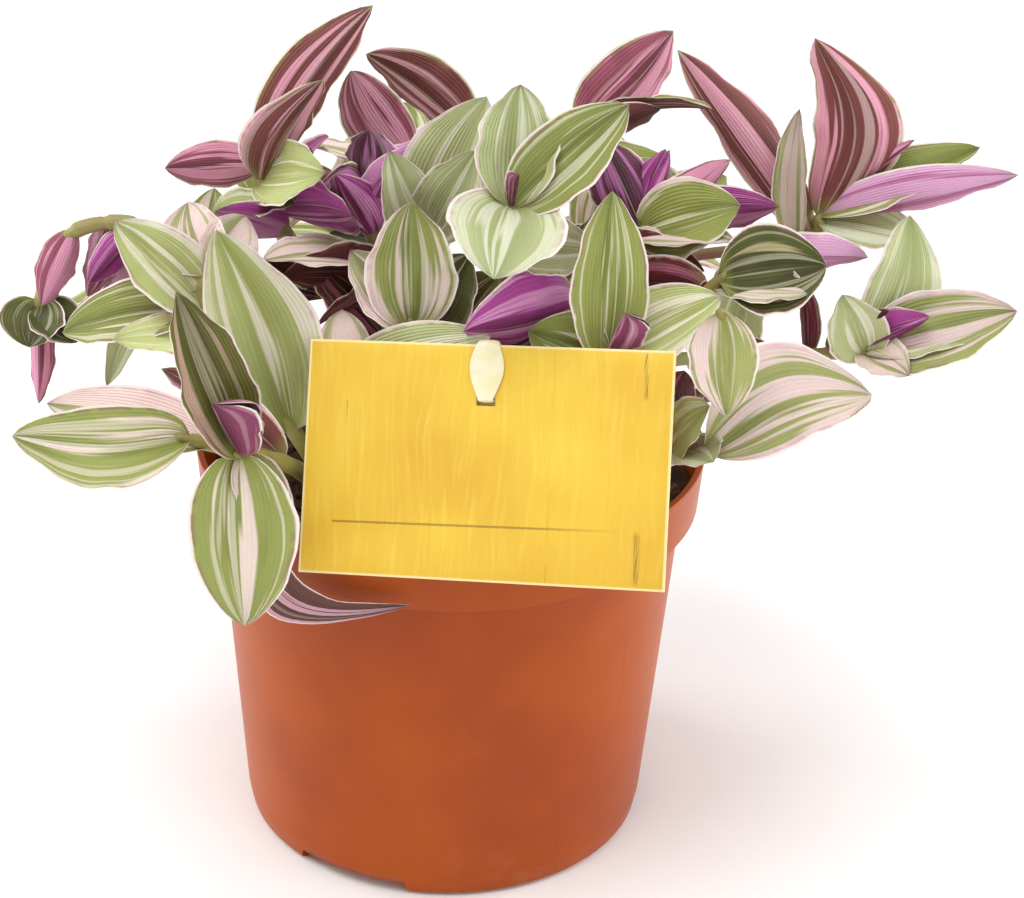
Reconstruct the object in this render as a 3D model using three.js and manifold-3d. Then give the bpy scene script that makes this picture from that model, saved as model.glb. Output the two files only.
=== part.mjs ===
// A potted tradescantia: a brown nursery pot filled with soil, variegated leafy shoots rooted in
// it, and a plain card that leans on the rim, tied to a stake.
//
// Millimetres, +Z up. The origin is the middle of the pot's foot, on the surface it stands on, and
// the card faces -Y.

import * as THREE from 'three';
import { mergeVertices } from 'three/addons/utils/BufferGeometryUtils.js';
import Module from 'manifold-3d';

const wasm = await Module();
wasm.setup();

// ---------------------------------------------------------------- driving dimensions

const GAP = 0.3; // between pieces that touch

const POT = {
  rimRadius: 60, // outside, at the top
  rimSkirtRadius: 59, // outside, at the lower edge of the rim band
  height: 98,
  rimHeight: 13.3,
  neckRadius: 55.4, // body, just under the rim band
  footRadius: 48.7,
  cornerRadius: 2,
  wall: 1.5,
  floorBottom: 3.4, // the floor stands clear of the surface on a foot ring and a middle foot
  floorThickness: 1.8,
  footRingWidth: 5,
  middleFootRadius: 20,
  sides: 24,
};

const FOOT_SLOPE = 1.5; // run of the slopes beside the feet
const FOOT_NOTCH = { count: 3, firstAngle: -117, width: 28, height: 3.4, depth: 14 };
const DRAIN_HOLE = { count: 5, radius: 4, ring: 33, sides: 6 };

const SOIL = { top: 88, crown: 1.5 };

const STEM = { radius: 1.7, sides: 5, step: 8, foot: 74, collar: 94, holeRadius: 2.8, tip: 2 };

const LEAF = {
  thickness: 1.3, // at the midrib
  marginThickness: 0.85, // halfway to the margin
  stations: [0.12, 0.35, 0.6, 0.82], // cross-sections along a blade, from base (0) to tip (1)
  shortStations: [0.15, 0.45, 0.78],
  sunk: 0.3, // how far a blade's root passes the stem's axis
  shortLength: 32, // shorter blades have fewer cross-sections
  narrowWidth: 17.5, // narrower blades have one panel on each side of the midrib
  rolled: 90, // a cup past this is a rolled young leaf
  sheath: 0.13, // width of a blade's base, as a share of its widest
  sheathWrap: 60, // degrees that each side of the base is curled up
};

const CARD = {
  width: 81,
  height: 51,
  thickness: 0.8,
  centre: [7.2, -54.0, 119],
  leanBack: 28.2, // degrees
  turn: -16.8,
  roll: 6.4,
  slot: { x: -0.3, z: 13.2, width: 4.2, height: 1.8 },
};

// The loop is a teardrop: "shoulder" and "widest" lie that far below its top.
const TIE = { width: 7.6, thickness: 0.8, slotWidth: 3.2, shoulder: 8, widest: 5 };
const STAKE = { width: 5, thickness: 1.2, foot: 76, point: 6 };

// ---------------------------------------------------------------- finishes

const finish = (color, roughness) => new THREE.MeshStandardMaterial({ color, roughness, metalness: 0 });
const POT_PLASTIC = finish(0xb4592c, 0.45);
const SOIL_MIX = finish(0x3a2a20, 0.95);
const CARD_STOCK = finish(0xeec23a, 0.7);
const TIE_PLASTIC = finish(0xf2e6c8, 0.35);
const GREEN_SHOOT = finish(0x8fae5e, 0.5);
const PURPLE_SHOOT = finish(0x9a4d78, 0.5);

// ---------------------------------------------------------------- the shoots
//
// Each shoot has one root in the soil and one or more stems that part just above it. A stem passes
// its "via" points, and its points are numbered 0 to 2 in the root and from 3 at the first via.
// A leaf is [place on its stem, tip, way its upper side faces, width, arch in degrees, cup in
// degrees, sideways bend, colouring].

const SHOOTS = [
  { name: 'front_left', root: [-26, -28], stems: [
    { via: [[-36, -43, 112], [-46, -62, 124]], leaves: [
      [4, [-57, -62, 161], [0.45, -1, 0.2], 20, -14, 48, 0, 'dark'],
      [4, [-50, -64, 138], [0.1, -1, 0.3], 27, 0, 145, 0, 'roll'],
      [4, [-43, -74, 89], [-0.05, -1, 0.4], 24, 28, 18, -1, 'mixed'],
      [3.7, [-38, -61, 97], [0.2, -0.9, 0.4], 14, 20, 10, 0, 'pink'],
      [3.1, [-63, -42, 134], [0.3, 0.9, 0.2], 14, 20, 30, 0, 'brown'],
      [3.2, [-8, -62, 88], [-0.3, -0.9, 0.1], 12, 36, 8, 20, 'plum'],
    ] },
    { via: [[-34, -40, 110], [-59, -56, 125]], leaves: [
      [4, [-93, -58, 125], [0, -0.8, 0.75], 20, 14, 24, -3.5, 'mixed'],
      [3.7, [-88, -42, 125], [0.1, -0.6, 0.8], 16, 15, 20, 0, 'pink'],
    ] },
    { via: [[-36, -27, 113], [-55, -21, 139], [-54, -18, 147]], leaves: [
      [3, [-52, -26, 160], [-0.15, -1, 0.35], 26, 16, 18, 3, 'green'],
      [4, [-75, -18, 158], [0.3, -0.8, 0.6], 17.5, 20, 18, 0, 'fresh'],
      [4, [-88, -16, 130], [0, -0.6, 0.8], 17, 35, 20, 0, 'green'],
      [3.7, [-75, -30, 135], [0, -0.5, 0.85], 12, 25, 15, 0, 'lime'],
      [5, [-60, -8, 159], [0, -1, 0.3], 17, 20, 15, -2, 'pink'],
      [5, [-47, -8, 156], [0.2, -1, 0.3], 14, 25, 20, 0, 'pink'],
    ] },
  ] },
  { name: 'left', root: [-40, -6], stems: [
    { via: [[-52, 0, 122], [-68, 6, 144], [-80, 8, 147], [-92, 8, 141], [-97, 4, 124]], leaves: [
      [5.6, [-95, 0, 129], [-0.2, 1, 0.3], 13, -25, 50, 0, 'pinkstripe'],
      [5, [-85, 4, 130], [0.2, 0.9, 0.1], 12, 20, 55, 0, 'dark'],
      [6.8, [-98, -3, 120], [-0.2, -0.6, 0.8], 17, 50, 15, 0, 'darkgreen'],
      [7, [-87, -2, 121], [0.2, -0.6, 0.8], 13, 50, 20, 0, 'darkgreen'],
      [7, [-97, 0, 104], [0.1, 0.9, 0.1], 9, 10, 60, 0, 'pinkstripe'],
      [4, [-86, 2, 119], [0.1, 0.9, 0.1], 9, 50, 40, 0, 'pink'],
      [4, [-81, 0, 109], [0.1, -0.9, 0.3], 9, 20, 40, 0, 'pale'],
      [4.3, [-84, 0, 135], [0.2, 0.9, 0.3], 10, 20, 40, 0, 'magenta'],
    ] },
  ] },
  { name: 'upper_left', root: [-20, 6], stems: [
    { via: [[-28, 6, 128], [-42, 2, 153], [-45, 8, 163]], leaves: [
      [5, [-20, 22, 196], [-0.3, 1, 0.1], 17, -14, 30, 3, 'brown'],
      [4.5, [-30, -4, 187], [-0.5, 0.9, 0.4], 18, -18, 30, 3, 'brown'],
      [5, [-66, 2, 163], [-0.1, 1, -0.1], 12, 20, 25, 0, 'pinkstripe'],
      [4.6, [-29, -14, 169], [0, -0.9, 0.6], 16, 25, 15, 0, 'fresh'],
      [4.2, [-28, 5, 162], [0, 0.9, 0.4], 14, -20, 30, 0, 'brown'],
      [4, [-23, -16, 160], [0.1, 0.9, 0.35], 22, 35, 20, -2, 'magenta'],
      [3.9, [-51, -8, 150], [0, 0.9, 0.2], 13, 20, 30, 0, 'magenta'],
    ] },
  ] },
  { name: 'back_left', root: [-8, 26], stems: [
    { via: [[-10, 28, 130], [-14, 26, 155], [4, 28, 164]], leaves: [
      [5, [-22, 32, 181], [0, 0.9, 0.5], 19, 35, 25, 0, 'brown'],
      [4.2, [-25, 20, 181], [0, 1, 0], 16, 10, 20, 2, 'pinkstripe'],
      [3, [-20, 50, 138], [0, 0.2, 1], 17, 25, 20, 0, 'fresh'],
      [2.7, [4, 50, 122], [0, 0.3, 1], 17, 25, 20, 0, 'green'],
      [2.5, [-30, 40, 110], [0, 0.3, 1], 17, 25, 15, 0, 'mixed'],
    ] },
  ] },
  { name: 'middle_left', root: [-12, -4], stems: [
    { via: [[-16, -4, 135], [-20, -2, 155], [-20, 0, 163]], leaves: [
      [4.8, [-20, 0, 174], [0.1, 1, 0], 17, -10, 60, 0, 'magenta'],
      [4.2, [-31, -6, 162], [-0.2, 1, 0], 17, -20, 45, 0, 'darkpurple'],
      [4, [-7, 6, 170], [0.2, 1, 0], 15, -25, 30, 0, 'magenta'],
      [3.25, [-42, -26, 153], [0, -0.2, 1], 17, 25, 16, 0, 'pink'],
      [2.6, [-4, 18, 124], [0, 0, 1], 17, 25, 20, 0, 'fresh'],
      [3.2, [-38, -22, 148], [0, 0.9, 0.3], 17, 20, 15, 0, 'darkred'],
      [3, [-31, -26, 137], [0, 0.9, 0.4], 17, 20, 20, 0, 'darkred'],
    ] },
  ] },
  { name: 'centre', root: [2, -12], stems: [
    { via: [[8, -18, 128], [12, -34, 160], [12, -32, 170]], leaves: [
      [5, [13, -18, 192], [0, -1, 0.2], 22, -8, 45, 0, 'fresh'],
      [4.9, [36, -26, 191], [-0.2, -0.9, 0.5], 18, 20, 25, 0, 'green'],
      [4.9, [8, -54, 162], [0, -0.75, 0.7], 26, 45, 12, 0, 'pale'],
      [5, [13, -38, 179], [0, -0.5, 1], 8, 0, 125, 0, 'roll'],
      [4, [30, -33, 160], [0.1, -0.6, 0.8], 16, 32, 14, 0, 'pale'],
    ] },
    { via: [[0, -14, 132], [-7, -16, 158]], leaves: [
      [4, [6, -12, 187], [-0.1, -1, 0.3], 20, 15, 20, -2, 'pale'],
      [4, [4, -24, 179], [0.1, -0.8, 0.6], 15, 20, 20, 0, 'pale'],
      [3.7, [-15, -20, 177], [-0.1, -0.8, 0.5], 14, 20, 20, 0, 'pale'],
    ] },
    { via: [[-4, -20, 126], [-10, -28, 141]], leaves: [
      [4, [-10, -27, 168], [0, -1, 0.3], 21, 14, 22, 0, 'mixed'],
      [4, [-23, -26, 156], [0.2, -1, 0.3], 14, 10, 30, 0, 'pink'],
      [3.6, [3, -22, 154], [0, -0.7, 0.6], 17, 20, 20, 0, 'darkgreen'],
      [3.2, [10, -20, 149], [0, -0.5, 0.8], 15, 25, 20, 0, 'dark'],
    ] },
  ] },
  { name: 'front', root: [10, -36], stems: [
    { via: [[12, -38, 112], [35, -41, 141]], leaves: [
      [4, [33, -33, 174], [0.1, -1, 0.3], 18, 14, 25, 0, 'green'],
      [4, [58, -30, 149], [-0.1, -0.7, 0.8], 18, 25, 22, 0, 'fresh'],
      [4, [37, -48, 154], [0.2, -0.4, 1], 9, 0, 125, 0, 'roll'],
      [3.9, [16, -40, 144], [0.1, -0.9, 0.5], 16, 20, 20, 0, 'green'],
    ] },
    { via: [[22, -32, 118], [28, -30, 150]], leaves: [
      [4, [2, -39, 143], [0.1, 0.9, 0.4], 26, -35, 30, 0, 'magenta'],
    ] },
    { via: [[-4, -36, 110], [-26, -31, 130]], leaves: [
      [4, [8, -39, 142], [-0.25, -0.85, 0.47], 16, 8, 8, 0, 'pale'],
      [4, [-25, -22, 140], [0, -0.8, 0.6], 12, 25, 10, 0, 'pink'],
    ] },
  ] },
  { name: 'front_right', root: [34, -30], stems: [
    { via: [[44, -36, 112], [57, -50, 121]], leaves: [
      [4, [94, -26, 124], [-0.1, -0.8, 0.65], 25, 25, 16, -6, 'wide'],
      [3.5, [56, -57, 122], [0, -0.6, 0.8], 14, 20, 10, 0, 'pale'],
      [3.3, [55, -52, 133], [0, -0.6, 0.8], 14, 20, 10, 0, 'fresh'],
      [3.1, [50, -41, 136], [0, 0.9, 0.3], 13, 20, 20, 0, 'darkred'],
    ] },
    { via: [[48, -34, 118], [61, -37, 140], [56, -44, 152]], leaves: [
      [5, [58, -57, 133], [0.1, -1, 0.2], 16, -30, 20, 0, 'wide'],
    ] },
  ] },
  { name: 'right', root: [40, -2], stems: [
    { via: [[48, -9, 126], [60, -19, 150]], leaves: [
      [4, [83, -14, 150], [0, -0.8, 0.6], 22, 20, 18, 0, 'darkgreen'],
      [3.8, [79, -20, 146], [0, -0.4, 0.9], 14, 25, 20, 0, 'pink'],
      [4, [95, 3, 145], [0, 0.9, 0.4], 18, 14, 20, 0, 'magenta'],
      [3.7, [34, -9, 142], [0, 0.9, 0.4], 17, 20, 20, 0, 'darkred'],
    ] },
    { via: [[58, -4, 113], [79, -7, 124], [96, -10, 127]], leaves: [
      [5, [103, 0, 157], [-0.1, -1, 0.2], 18, 10, 22, 4, 'pale'],
      [5, [127, -14, 140], [-0.1, -0.8, 0.6], 20, 20, 28, 0, 'wide'],
      [4.9, [87, -14, 143], [-0.2, -0.8, 0.6], 15, 35, 20, 0, 'pale'],
      [5, [127, -12, 138], [0, -0.5, 0.9], 14, 14, 20, 0, 'pale'],
      [5, [103, -20, 126], [0, -0.7, 0.7], 12, 30, 30, 0, 'pink'],
      [4.1, [79, 0, 141], [0.5, 0.6, 0.2], 8, 20, 50, 0, 'darkred'],
    ] },
  ] },
  { name: 'upper_right', root: [28, 20], stems: [
    { via: [[40, 22, 130], [80, 14, 144], [85, 14, 151]], leaves: [
      [4.2, [50, 26, 186], [-0.4, 1, 0.1], 17, -14, 50, -2, 'brown'],
      [4, [78, 16, 176], [-0.6, -0.8, 0.1], 12, 10, 50, 0, 'pink'],
      [5, [81, 22, 191], [0.3, 0.95, 0.1], 24, -10, 34, -9, 'brown'],
      [5, [128, 6, 165], [-0.1, 1, 0.2], 14, -8, 30, 1, 'magenta'],
      [5, [121, 18, 167], [0, -0.5, 0.9], 15, 14, 20, 0, 'green'],
      [5, [105, 14, 170], [0, 0.8, 0.3], 10, 0, 90, 0, 'pinkstripe'],
      [4.7, [108, 8, 147], [0, -0.5, 0.8], 15, 30, 20, 0, 'pale'],
    ] },
  ] },
  { name: 'back_right', root: [12, 30], stems: [
    { via: [[18, 32, 138], [30, 32, 166]], leaves: [
      [4, [50, 40, 186], [-0.2, 1, 0.1], 20, -14, 25, -1.5, 'pinkstripe'],
      [3.9, [58, 14, 176], [0, 0.3, 1], 13, 30, 40, 0, 'brown'],
      [3.6, [46, 14, 176], [0, 0.9, 0.3], 12, 20, 40, 0, 'darkred'],
      [3, [6, 54, 142], [0, 0.2, 1], 17, 25, 20, 0, 'pale'],
      [2.6, [37, 39, 112], [0, 0.3, 1], 17, 25, 20, 0, 'mixed'],
      [2.5, [4, 14, 114], [0, 0, 1], 17, 25, 15, 0, 'green'],
    ] },
  ] },
  { name: 'middle_right', root: [16, 2], stems: [
    { via: [[26, 2, 140], [44, -2, 153]], leaves: [
      [4, [32, 2, 173], [-0.3, 1, 0.1], 18, -14, 45, 0, 'darkpurple'],
      [4, [63, -12, 163], [-0.1, -0.8, 0.6], 19, 22, 15, 0, 'green'],
      [3.9, [73, -2, 159], [0, 0.9, 0.2], 15, 20, 25, 0, 'magenta'],
      [3.8, [48, 6, 169], [0, 0.9, 0.3], 12, -30, 60, 0, 'magenta'],
      [3.6, [62, -16, 156], [0, -0.4, 0.9], 13, 15, 30, 0, 'pink'],
      [3.4, [32, -12, 162], [0, -0.8, 0.5], 14, 15, 30, 0, 'darkgreen'],
      [2.6, [34, 18, 122], [0, 0, 1], 17, 25, 20, 0, 'green'],
    ] },
  ] },
  { name: 'back_far_left', root: [-36, 20], stems: [
    { via: [[-48, 30, 108], [-66, 40, 116]], leaves: [
      [4, [-100, 46, 106], [0, -0.1, 1], 20, 30, 20, 0, 'green'],
      [4, [-84, 68, 108], [0, 0.3, 1], 19, 35, 20, 0, 'fresh'],
      [4, [-60, 54, 138], [0.2, -0.6, 0.8], 17, 14, 30, 0, 'mixed'],
      [3.7, [-92, 26, 116], [0, -0.3, 1], 17, 25, 20, 0, 'wide'],
      [3.5, [-58, 62, 96], [0.2, 0.7, 0.6], 17, 25, 20, 0, 'pale'],
    ] },
    { via: [[-40, 32, 126], [-44, 38, 140]], leaves: [
      [4, [-52, 48, 150], [0.3, -0.8, 0.4], 14, -14, 35, 0, 'brown'],
      [4, [-32, 60, 150], [0, 0.8, 0.6], 17, 25, 25, 0, 'magenta'],
      [3.8, [-58, 26, 142], [0, -0.4, 0.9], 15, 20, 25, 0, 'fresh'],
      [3.5, [-42, 66, 130], [0, 0.3, 1], 18, 25, 20, 0, 'mixed'],
    ] },
  ] },
  { name: 'back_mid_left', root: [-14, 42], stems: [
    { via: [[-20, 58, 110], [-26, 76, 116]], leaves: [
      [4, [-32, 110, 102], [0, 0.2, 1], 21, 35, 18, 0, 'wide'],
      [4, [-56, 86, 112], [0, 0, 1], 18, 30, 20, 0, 'green'],
      [4, [2, 96, 116], [0, 0.1, 1], 18, 30, 20, 0, 'fresh'],
      [4, [-24, 88, 144], [0, -0.7, 0.7], 18, 14, 30, 0, 'mixed'],
      [3.5, [-12, 90, 90], [0, 0.8, 0.6], 17, 25, 15, 0, 'pale'],
    ] },
    { via: [[-14, 50, 128], [-16, 56, 142]], leaves: [
      [4, [-14, 78, 153], [0, -0.6, 0.8], 19, 20, 30, 0, 'green'],
      [4, [-40, 70, 144], [0, 0.2, 1], 18, 25, 20, 0, 'pink'],
      [4, [10, 66, 152], [0, -0.4, 0.9], 17, 20, 25, 0, 'mixed'],
      [3.6, [-4, 86, 134], [0, 0.3, 1], 17, 25, 20, 0, 'fresh'],
    ] },
  ] },
  { name: 'back_mid_right', root: [16, 44], stems: [
    { via: [[24, 58, 108], [36, 74, 116]], leaves: [
      [4, [50, 106, 102], [0, 0.2, 1], 21, 35, 18, 0, 'fresh'],
      [4, [72, 78, 108], [0, 0, 1], 18, 30, 20, 0, 'wide'],
      [4, [22, 106, 110], [0, 0.2, 1], 18, 30, 20, 0, 'green'],
      [4, [42, 88, 142], [0, -0.7, 0.7], 18, 14, 30, 0, 'mixed'],
      [3.5, [32, 90, 88], [0, 0.8, 0.6], 17, 25, 15, 0, 'pale'],
    ] },
    { via: [[22, 48, 130], [26, 54, 142]], leaves: [
      [4, [38, 76, 153], [0, -0.6, 0.8], 18, 20, 30, 0, 'mixed'],
      [4, [52, 54, 148], [0, -0.3, 1], 18, 25, 20, 0, 'green'],
      [4, [14, 66, 153], [0.2, -0.9, 0.3], 15, 14, 40, 0, 'brown'],
      [3.6, [46, 76, 132], [0, 0.2, 1], 17, 25, 20, 0, 'fresh'],
    ] },
  ] },
  { name: 'back_far_right', root: [38, 26], stems: [
    { via: [[54, 36, 102], [70, 46, 97]], leaves: [
      [4, [94, 60, 82], [0, 0, 1], 20, 30, 20, 0, 'wide'],
      [4, [90, 38, 86], [0, -0.2, 1], 18, 30, 20, 0, 'green'],
      [4, [80, 80, 82], [0, 0.3, 1], 18, 35, 20, 0, 'fresh'],
      [4, [74, 52, 120], [-0.1, -0.7, 0.6], 17, 14, 30, 0, 'pale'],
      [3.5, [66, 62, 78], [0.5, 0.5, 0.6], 15, 25, 15, 0, 'mixed'],
    ] },
    { via: [[46, 36, 126], [52, 42, 138]], leaves: [
      [4, [66, 56, 144], [-0.3, -0.4, 0.9], 17, 20, 30, 0, 'green'],
      [4, [44, 38, 154], [0.2, -0.6, 0.8], 15, 20, 30, 0, 'mixed'],
      [3.6, [64, 66, 126], [0, 0.3, 1], 18, 25, 20, 0, 'pink'],
    ] },
  ] },
];

// ---------------------------------------------------------------- solids

/** A closed three.js geometry as a solid that can be joined and cut. */
function solidOf(geometry) {
  let bare = geometry.index ? geometry.toNonIndexed() : geometry.clone();
  bare.deleteAttribute('normal');
  bare.deleteAttribute('uv');
  bare = mergeVertices(bare, 1e-4);
  const index = bare.index.array;
  const triVerts = [];
  for (let i = 0; i < index.length; i += 3) {
    const [a, b, c] = [index[i], index[i + 1], index[i + 2]];
    if (a !== b && b !== c && c !== a) triVerts.push(a, b, c);
  }
  return new wasm.Manifold(new wasm.Mesh({
    numProp: 3,
    vertProperties: new Float32Array(bare.attributes.position.array),
    triVerts: new Uint32Array(triVerts),
  }));
}

/** A solid's surface as a flat-shaded geometry. */
function geometryOf(solid) {
  const mesh = solid.getMesh();
  const geometry = new THREE.BufferGeometry();
  geometry.setAttribute('position', new THREE.BufferAttribute(new Float32Array(mesh.vertProperties), 3));
  geometry.setIndex(new THREE.BufferAttribute(new Uint32Array(mesh.triVerts), 1));
  geometry.computeVertexNormals();
  return geometry;
}

/** The outside of the largest body in a solid: sealed pockets are filled and loose scraps dropped. */
function mainBody(solid) {
  const bodies = solid.decompose();
  return bodies.reduce((best, body) => (body.volume() > best.volume() ? body : best));
}

function namedMesh(name, solid, material) {
  const mesh = new THREE.Mesh(geometryOf(solid), material);
  mesh.name = name;
  return mesh;
}

const point = ([x, y, z]) => new THREE.Vector3(x, y, z);
const radians = THREE.MathUtils.degToRad;

// ---------------------------------------------------------------- pot

/** Radius of the pot body's outside at height z. */
function bodyRadius(z) {
  const neckHeight = POT.height - POT.rimHeight;
  return POT.footRadius + (POT.neckRadius - POT.footRadius) * (z / neckHeight);
}

/** The inside of the pot as [radius, z] points from its axis outwards and up, drawn in by "inset". */
function potInside(inset) {
  const step = POT.height - POT.rimHeight;
  const floorTop = POT.floorBottom + POT.floorThickness;
  return [
    [0, POT.floorThickness + inset],
    [POT.middleFootRadius, POT.floorThickness + inset],
    [POT.middleFootRadius + FOOT_SLOPE, floorTop + inset],
    [bodyRadius(floorTop) - POT.wall - inset, floorTop + inset],
    [bodyRadius(step) - POT.wall - inset, step - 1 + inset],
    [POT.rimSkirtRadius - POT.wall - inset, step + 0.5 + inset],
  ];
}

function lathe(profile, sides) {
  const points = profile.map(([radius, z]) => new THREE.Vector2(radius, z));
  return new THREE.LatheGeometry(points, sides).rotateX(Math.PI / 2);
}

function makePot() {
  const { rimRadius, height, rimSkirtRadius, rimHeight, cornerRadius, footRadius, footRingWidth } = POT;
  const step = height - rimHeight;
  const ringInside = footRadius - footRingWidth;
  const profile = [
    [0, 0],
    [POT.middleFootRadius, 0],
    [POT.middleFootRadius + FOOT_SLOPE, POT.floorBottom],
    [ringInside - FOOT_SLOPE, POT.floorBottom],
    [ringInside, 0],
    [footRadius - cornerRadius, 0],
    [footRadius - 0.6, 0.6],
    [bodyRadius(cornerRadius), cornerRadius],
    [bodyRadius(step), step],
    [rimSkirtRadius, step],
    [rimRadius, height - 0.7],
    [rimRadius - 0.7, height],
    [rimRadius - POT.wall, height],
    ...potInside(0).reverse(),
  ];
  let pot = solidOf(lathe(profile, POT.sides));
  for (let i = 0; i < FOOT_NOTCH.count; i++) {
    const angle = radians(FOOT_NOTCH.firstAngle + (i * 360) / FOOT_NOTCH.count);
    const notch = new THREE.BoxGeometry(FOOT_NOTCH.depth, FOOT_NOTCH.width, FOOT_NOTCH.height * 2);
    notch.translate(footRadius, 0, 0);
    pot = pot.subtract(solidOf(notch.rotateZ(angle)));
  }
  for (let i = 0; i < DRAIN_HOLE.count; i++) {
    const angle = (i * 2 * Math.PI) / DRAIN_HOLE.count;
    const { radius, ring, sides } = DRAIN_HOLE;
    const hole = new THREE.CylinderGeometry(radius, radius, POT.floorBottom * 4, sides);
    hole.rotateX(Math.PI / 2).translate(ring * Math.cos(angle), ring * Math.sin(angle), 0);
    pot = pot.subtract(solidOf(hole));
  }
  return pot;
}

// ---------------------------------------------------------------- leaves and stems

/** Half-width of a blade, as a share of its widest, at t from base (0) to tip (1). */
function outline(t) {
  const [rise, fall] = [0.62, 0.8];
  const widest = rise / (rise + fall);
  const peak = widest ** rise * (1 - widest) ** fall;
  return (t ** rise * (1 - t) ** fall) / peak + LEAF.sheath * (1 - t) ** 4;
}

/**
 * One blade as a closed solid. Its midrib runs from base to tip on an arc, its sides are raised
 * towards the upper side by the cup, and its two faces meet at the margin.
 */
function makeBlade(base, tip, faces, width, arch, cup, sway) {
  const chord = tip.clone().sub(base);
  const length = chord.length();
  chord.normalize();
  const root = base.clone().addScaledVector(chord, -LEAF.sunk);
  const up = faces.clone().addScaledVector(chord, -faces.dot(chord)).normalize();
  const side = chord.clone().cross(up);
  const bend = radians(Math.abs(arch) > 0.5 ? arch : 0.5);
  const arcRadius = length / (2 * Math.sin(bend / 2));
  const stations = length < LEAF.shortLength ? LEAF.shortStations : LEAF.stations;
  const columns = width < LEAF.narrowWidth && cup < LEAF.rolled ? 2 : 4;

  const rows = stations.map((t) => {
    const turn = -bend / 2 + bend * t;
    const centre = base.clone()
      .addScaledVector(chord, arcRadius * (Math.sin(turn) + Math.sin(bend / 2)))
      .addScaledVector(up, arcRadius * (Math.cos(turn) - Math.cos(bend / 2)))
      .addScaledVector(side, sway * Math.sin(Math.PI * t));
    const lift = up.clone().multiplyScalar(Math.cos(turn)).addScaledVector(chord, Math.sin(turn));
    const halfWidth = (width / 2) * outline(t);
    const curl = radians(cup + Math.max(LEAF.sheathWrap - cup, 0) * (1 - t) ** 7);
    const [fold, round] = [0.35 * curl, Math.max(0.845 * curl, 1e-3)];
    const section = [];
    for (let j = 0; j <= columns; j++) {
      const across = (2 * j) / columns - 1;
      const angle = fold + round * Math.abs(across);
      const out = (Math.sign(across) * (Math.sin(angle) - Math.sin(fold))) / round;
      const rise = (Math.cos(fold) - Math.cos(angle)) / round;
      const place = centre.clone().addScaledVector(side, out * halfWidth)
        .addScaledVector(lift, rise * halfWidth);
      const normal = side.clone().multiplyScalar(-Math.sign(across) * Math.sin(angle))
        .addScaledVector(lift, across === 0 ? 1 : Math.cos(angle)).normalize();
      const thickness = Math.abs(across) < 0.1 ? LEAF.thickness : LEAF.marginThickness;
      section.push({ place, normal, half: Math.abs(across) > 0.99 ? 0 : thickness / 2 });
    }
    return section;
  });

  const skin = (i, j, way) => {
    const { place, normal, half } = rows[i][j];
    return place.clone().addScaledVector(normal, way * half).toArray();
  };
  const positions = [];
  const last = rows.length - 1;
  for (const way of [1, -1]) {
    const face = (a, b, c) => positions.push(...a, ...(way > 0 ? [...b, ...c] : [...c, ...b]));
    for (let j = 0; j < columns; j++) {
      face(root.toArray(), skin(0, j + 1, way), skin(0, j, way));
      for (let i = 0; i < last; i++) {
        const [a, b] = [skin(i, j, way), skin(i, j + 1, way)];
        const [c, d] = [skin(i + 1, j + 1, way), skin(i + 1, j, way)];
        face(a, c, d);
        face(a, b, c);
      }
      face(skin(last, j, way), skin(last, j + 1, way), tip.toArray());
    }
  }
  const geometry = new THREE.BufferGeometry();
  geometry.setAttribute('position', new THREE.Float32BufferAttribute(positions, 3));
  return solidOf(geometry);
}

/** The curve that a stem follows: straight up out of the soil, then through its via points. */
function stemCurve(root, via) {
  const [x, y] = root;
  const points = [[x, y, STEM.foot], [x, y, SOIL.top], [x, y, STEM.collar], ...via];
  return new THREE.CatmullRomCurve3(points.map(point), false, 'catmullrom', 0.5);
}

function polygon(radius, sides) {
  const shape = new THREE.Shape();
  for (let i = 0; i < sides; i++) {
    const angle = (i * 2 * Math.PI) / sides;
    const [x, y] = [radius * Math.cos(angle), radius * Math.sin(angle)];
    if (i === 0) shape.moveTo(x, y);
    else shape.lineTo(x, y);
  }
  shape.closePath();
  return shape;
}

function makeStem(curve) {
  const section = polygon(STEM.radius, STEM.sides);
  const steps = Math.round(curve.getLength() / STEM.step);
  const options = { steps, bevelEnabled: false, extrudePath: curve, curveSegments: 1 };
  return solidOf(new THREE.ExtrudeGeometry(section, options));
}

function makeShoot({ root, stems }) {
  const pieces = [];
  for (const { via, leaves } of stems) {
    const curve = stemCurve(root, via);
    const spans = via.length + 2;
    pieces.push(makeStem(curve));
    const lastNode = 1 - STEM.tip / curve.getLength();
    for (const [place, tip, faces, width, arch, cup, sway] of leaves) {
      const base = curve.getPoint(Math.min(place / spans, lastNode));
      pieces.push(makeBlade(base, point(tip), point(faces), width, arch, cup, sway));
    }
  }
  return mainBody(wasm.Manifold.union(pieces));
}

// ---------------------------------------------------------------- soil

function makeSoil() {
  const { top, crown } = SOIL;
  const wall = potInside(GAP);
  const rim = wall[wall.length - 1][0];
  const profile = [...wall, [rim, top - crown], [rim * 0.6, top], [0, top]];
  let soil = solidOf(lathe(profile, POT.sides));
  const holeDepth = 24; // reaches out of the top of the soil
  for (const { root: [x, y] } of SHOOTS) {
    const hole = new THREE.CylinderGeometry(STEM.holeRadius, STEM.holeRadius, holeDepth, 6);
    hole.rotateX(Math.PI / 2).translate(x, y, STEM.foot - GAP + holeDepth / 2);
    soil = soil.subtract(solidOf(hole));
  }
  const { x, y } = stakePlace();
  const slot = new THREE.BoxGeometry(STAKE.width + 2 * GAP, STAKE.thickness + 2 * GAP, holeDepth);
  slot.rotateZ(radians(CARD.turn)).translate(x, y, STAKE.foot - GAP + holeDepth / 2);
  return mainBody(soil.subtract(solidOf(slot)));
}

// ---------------------------------------------------------------- card and tie

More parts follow.
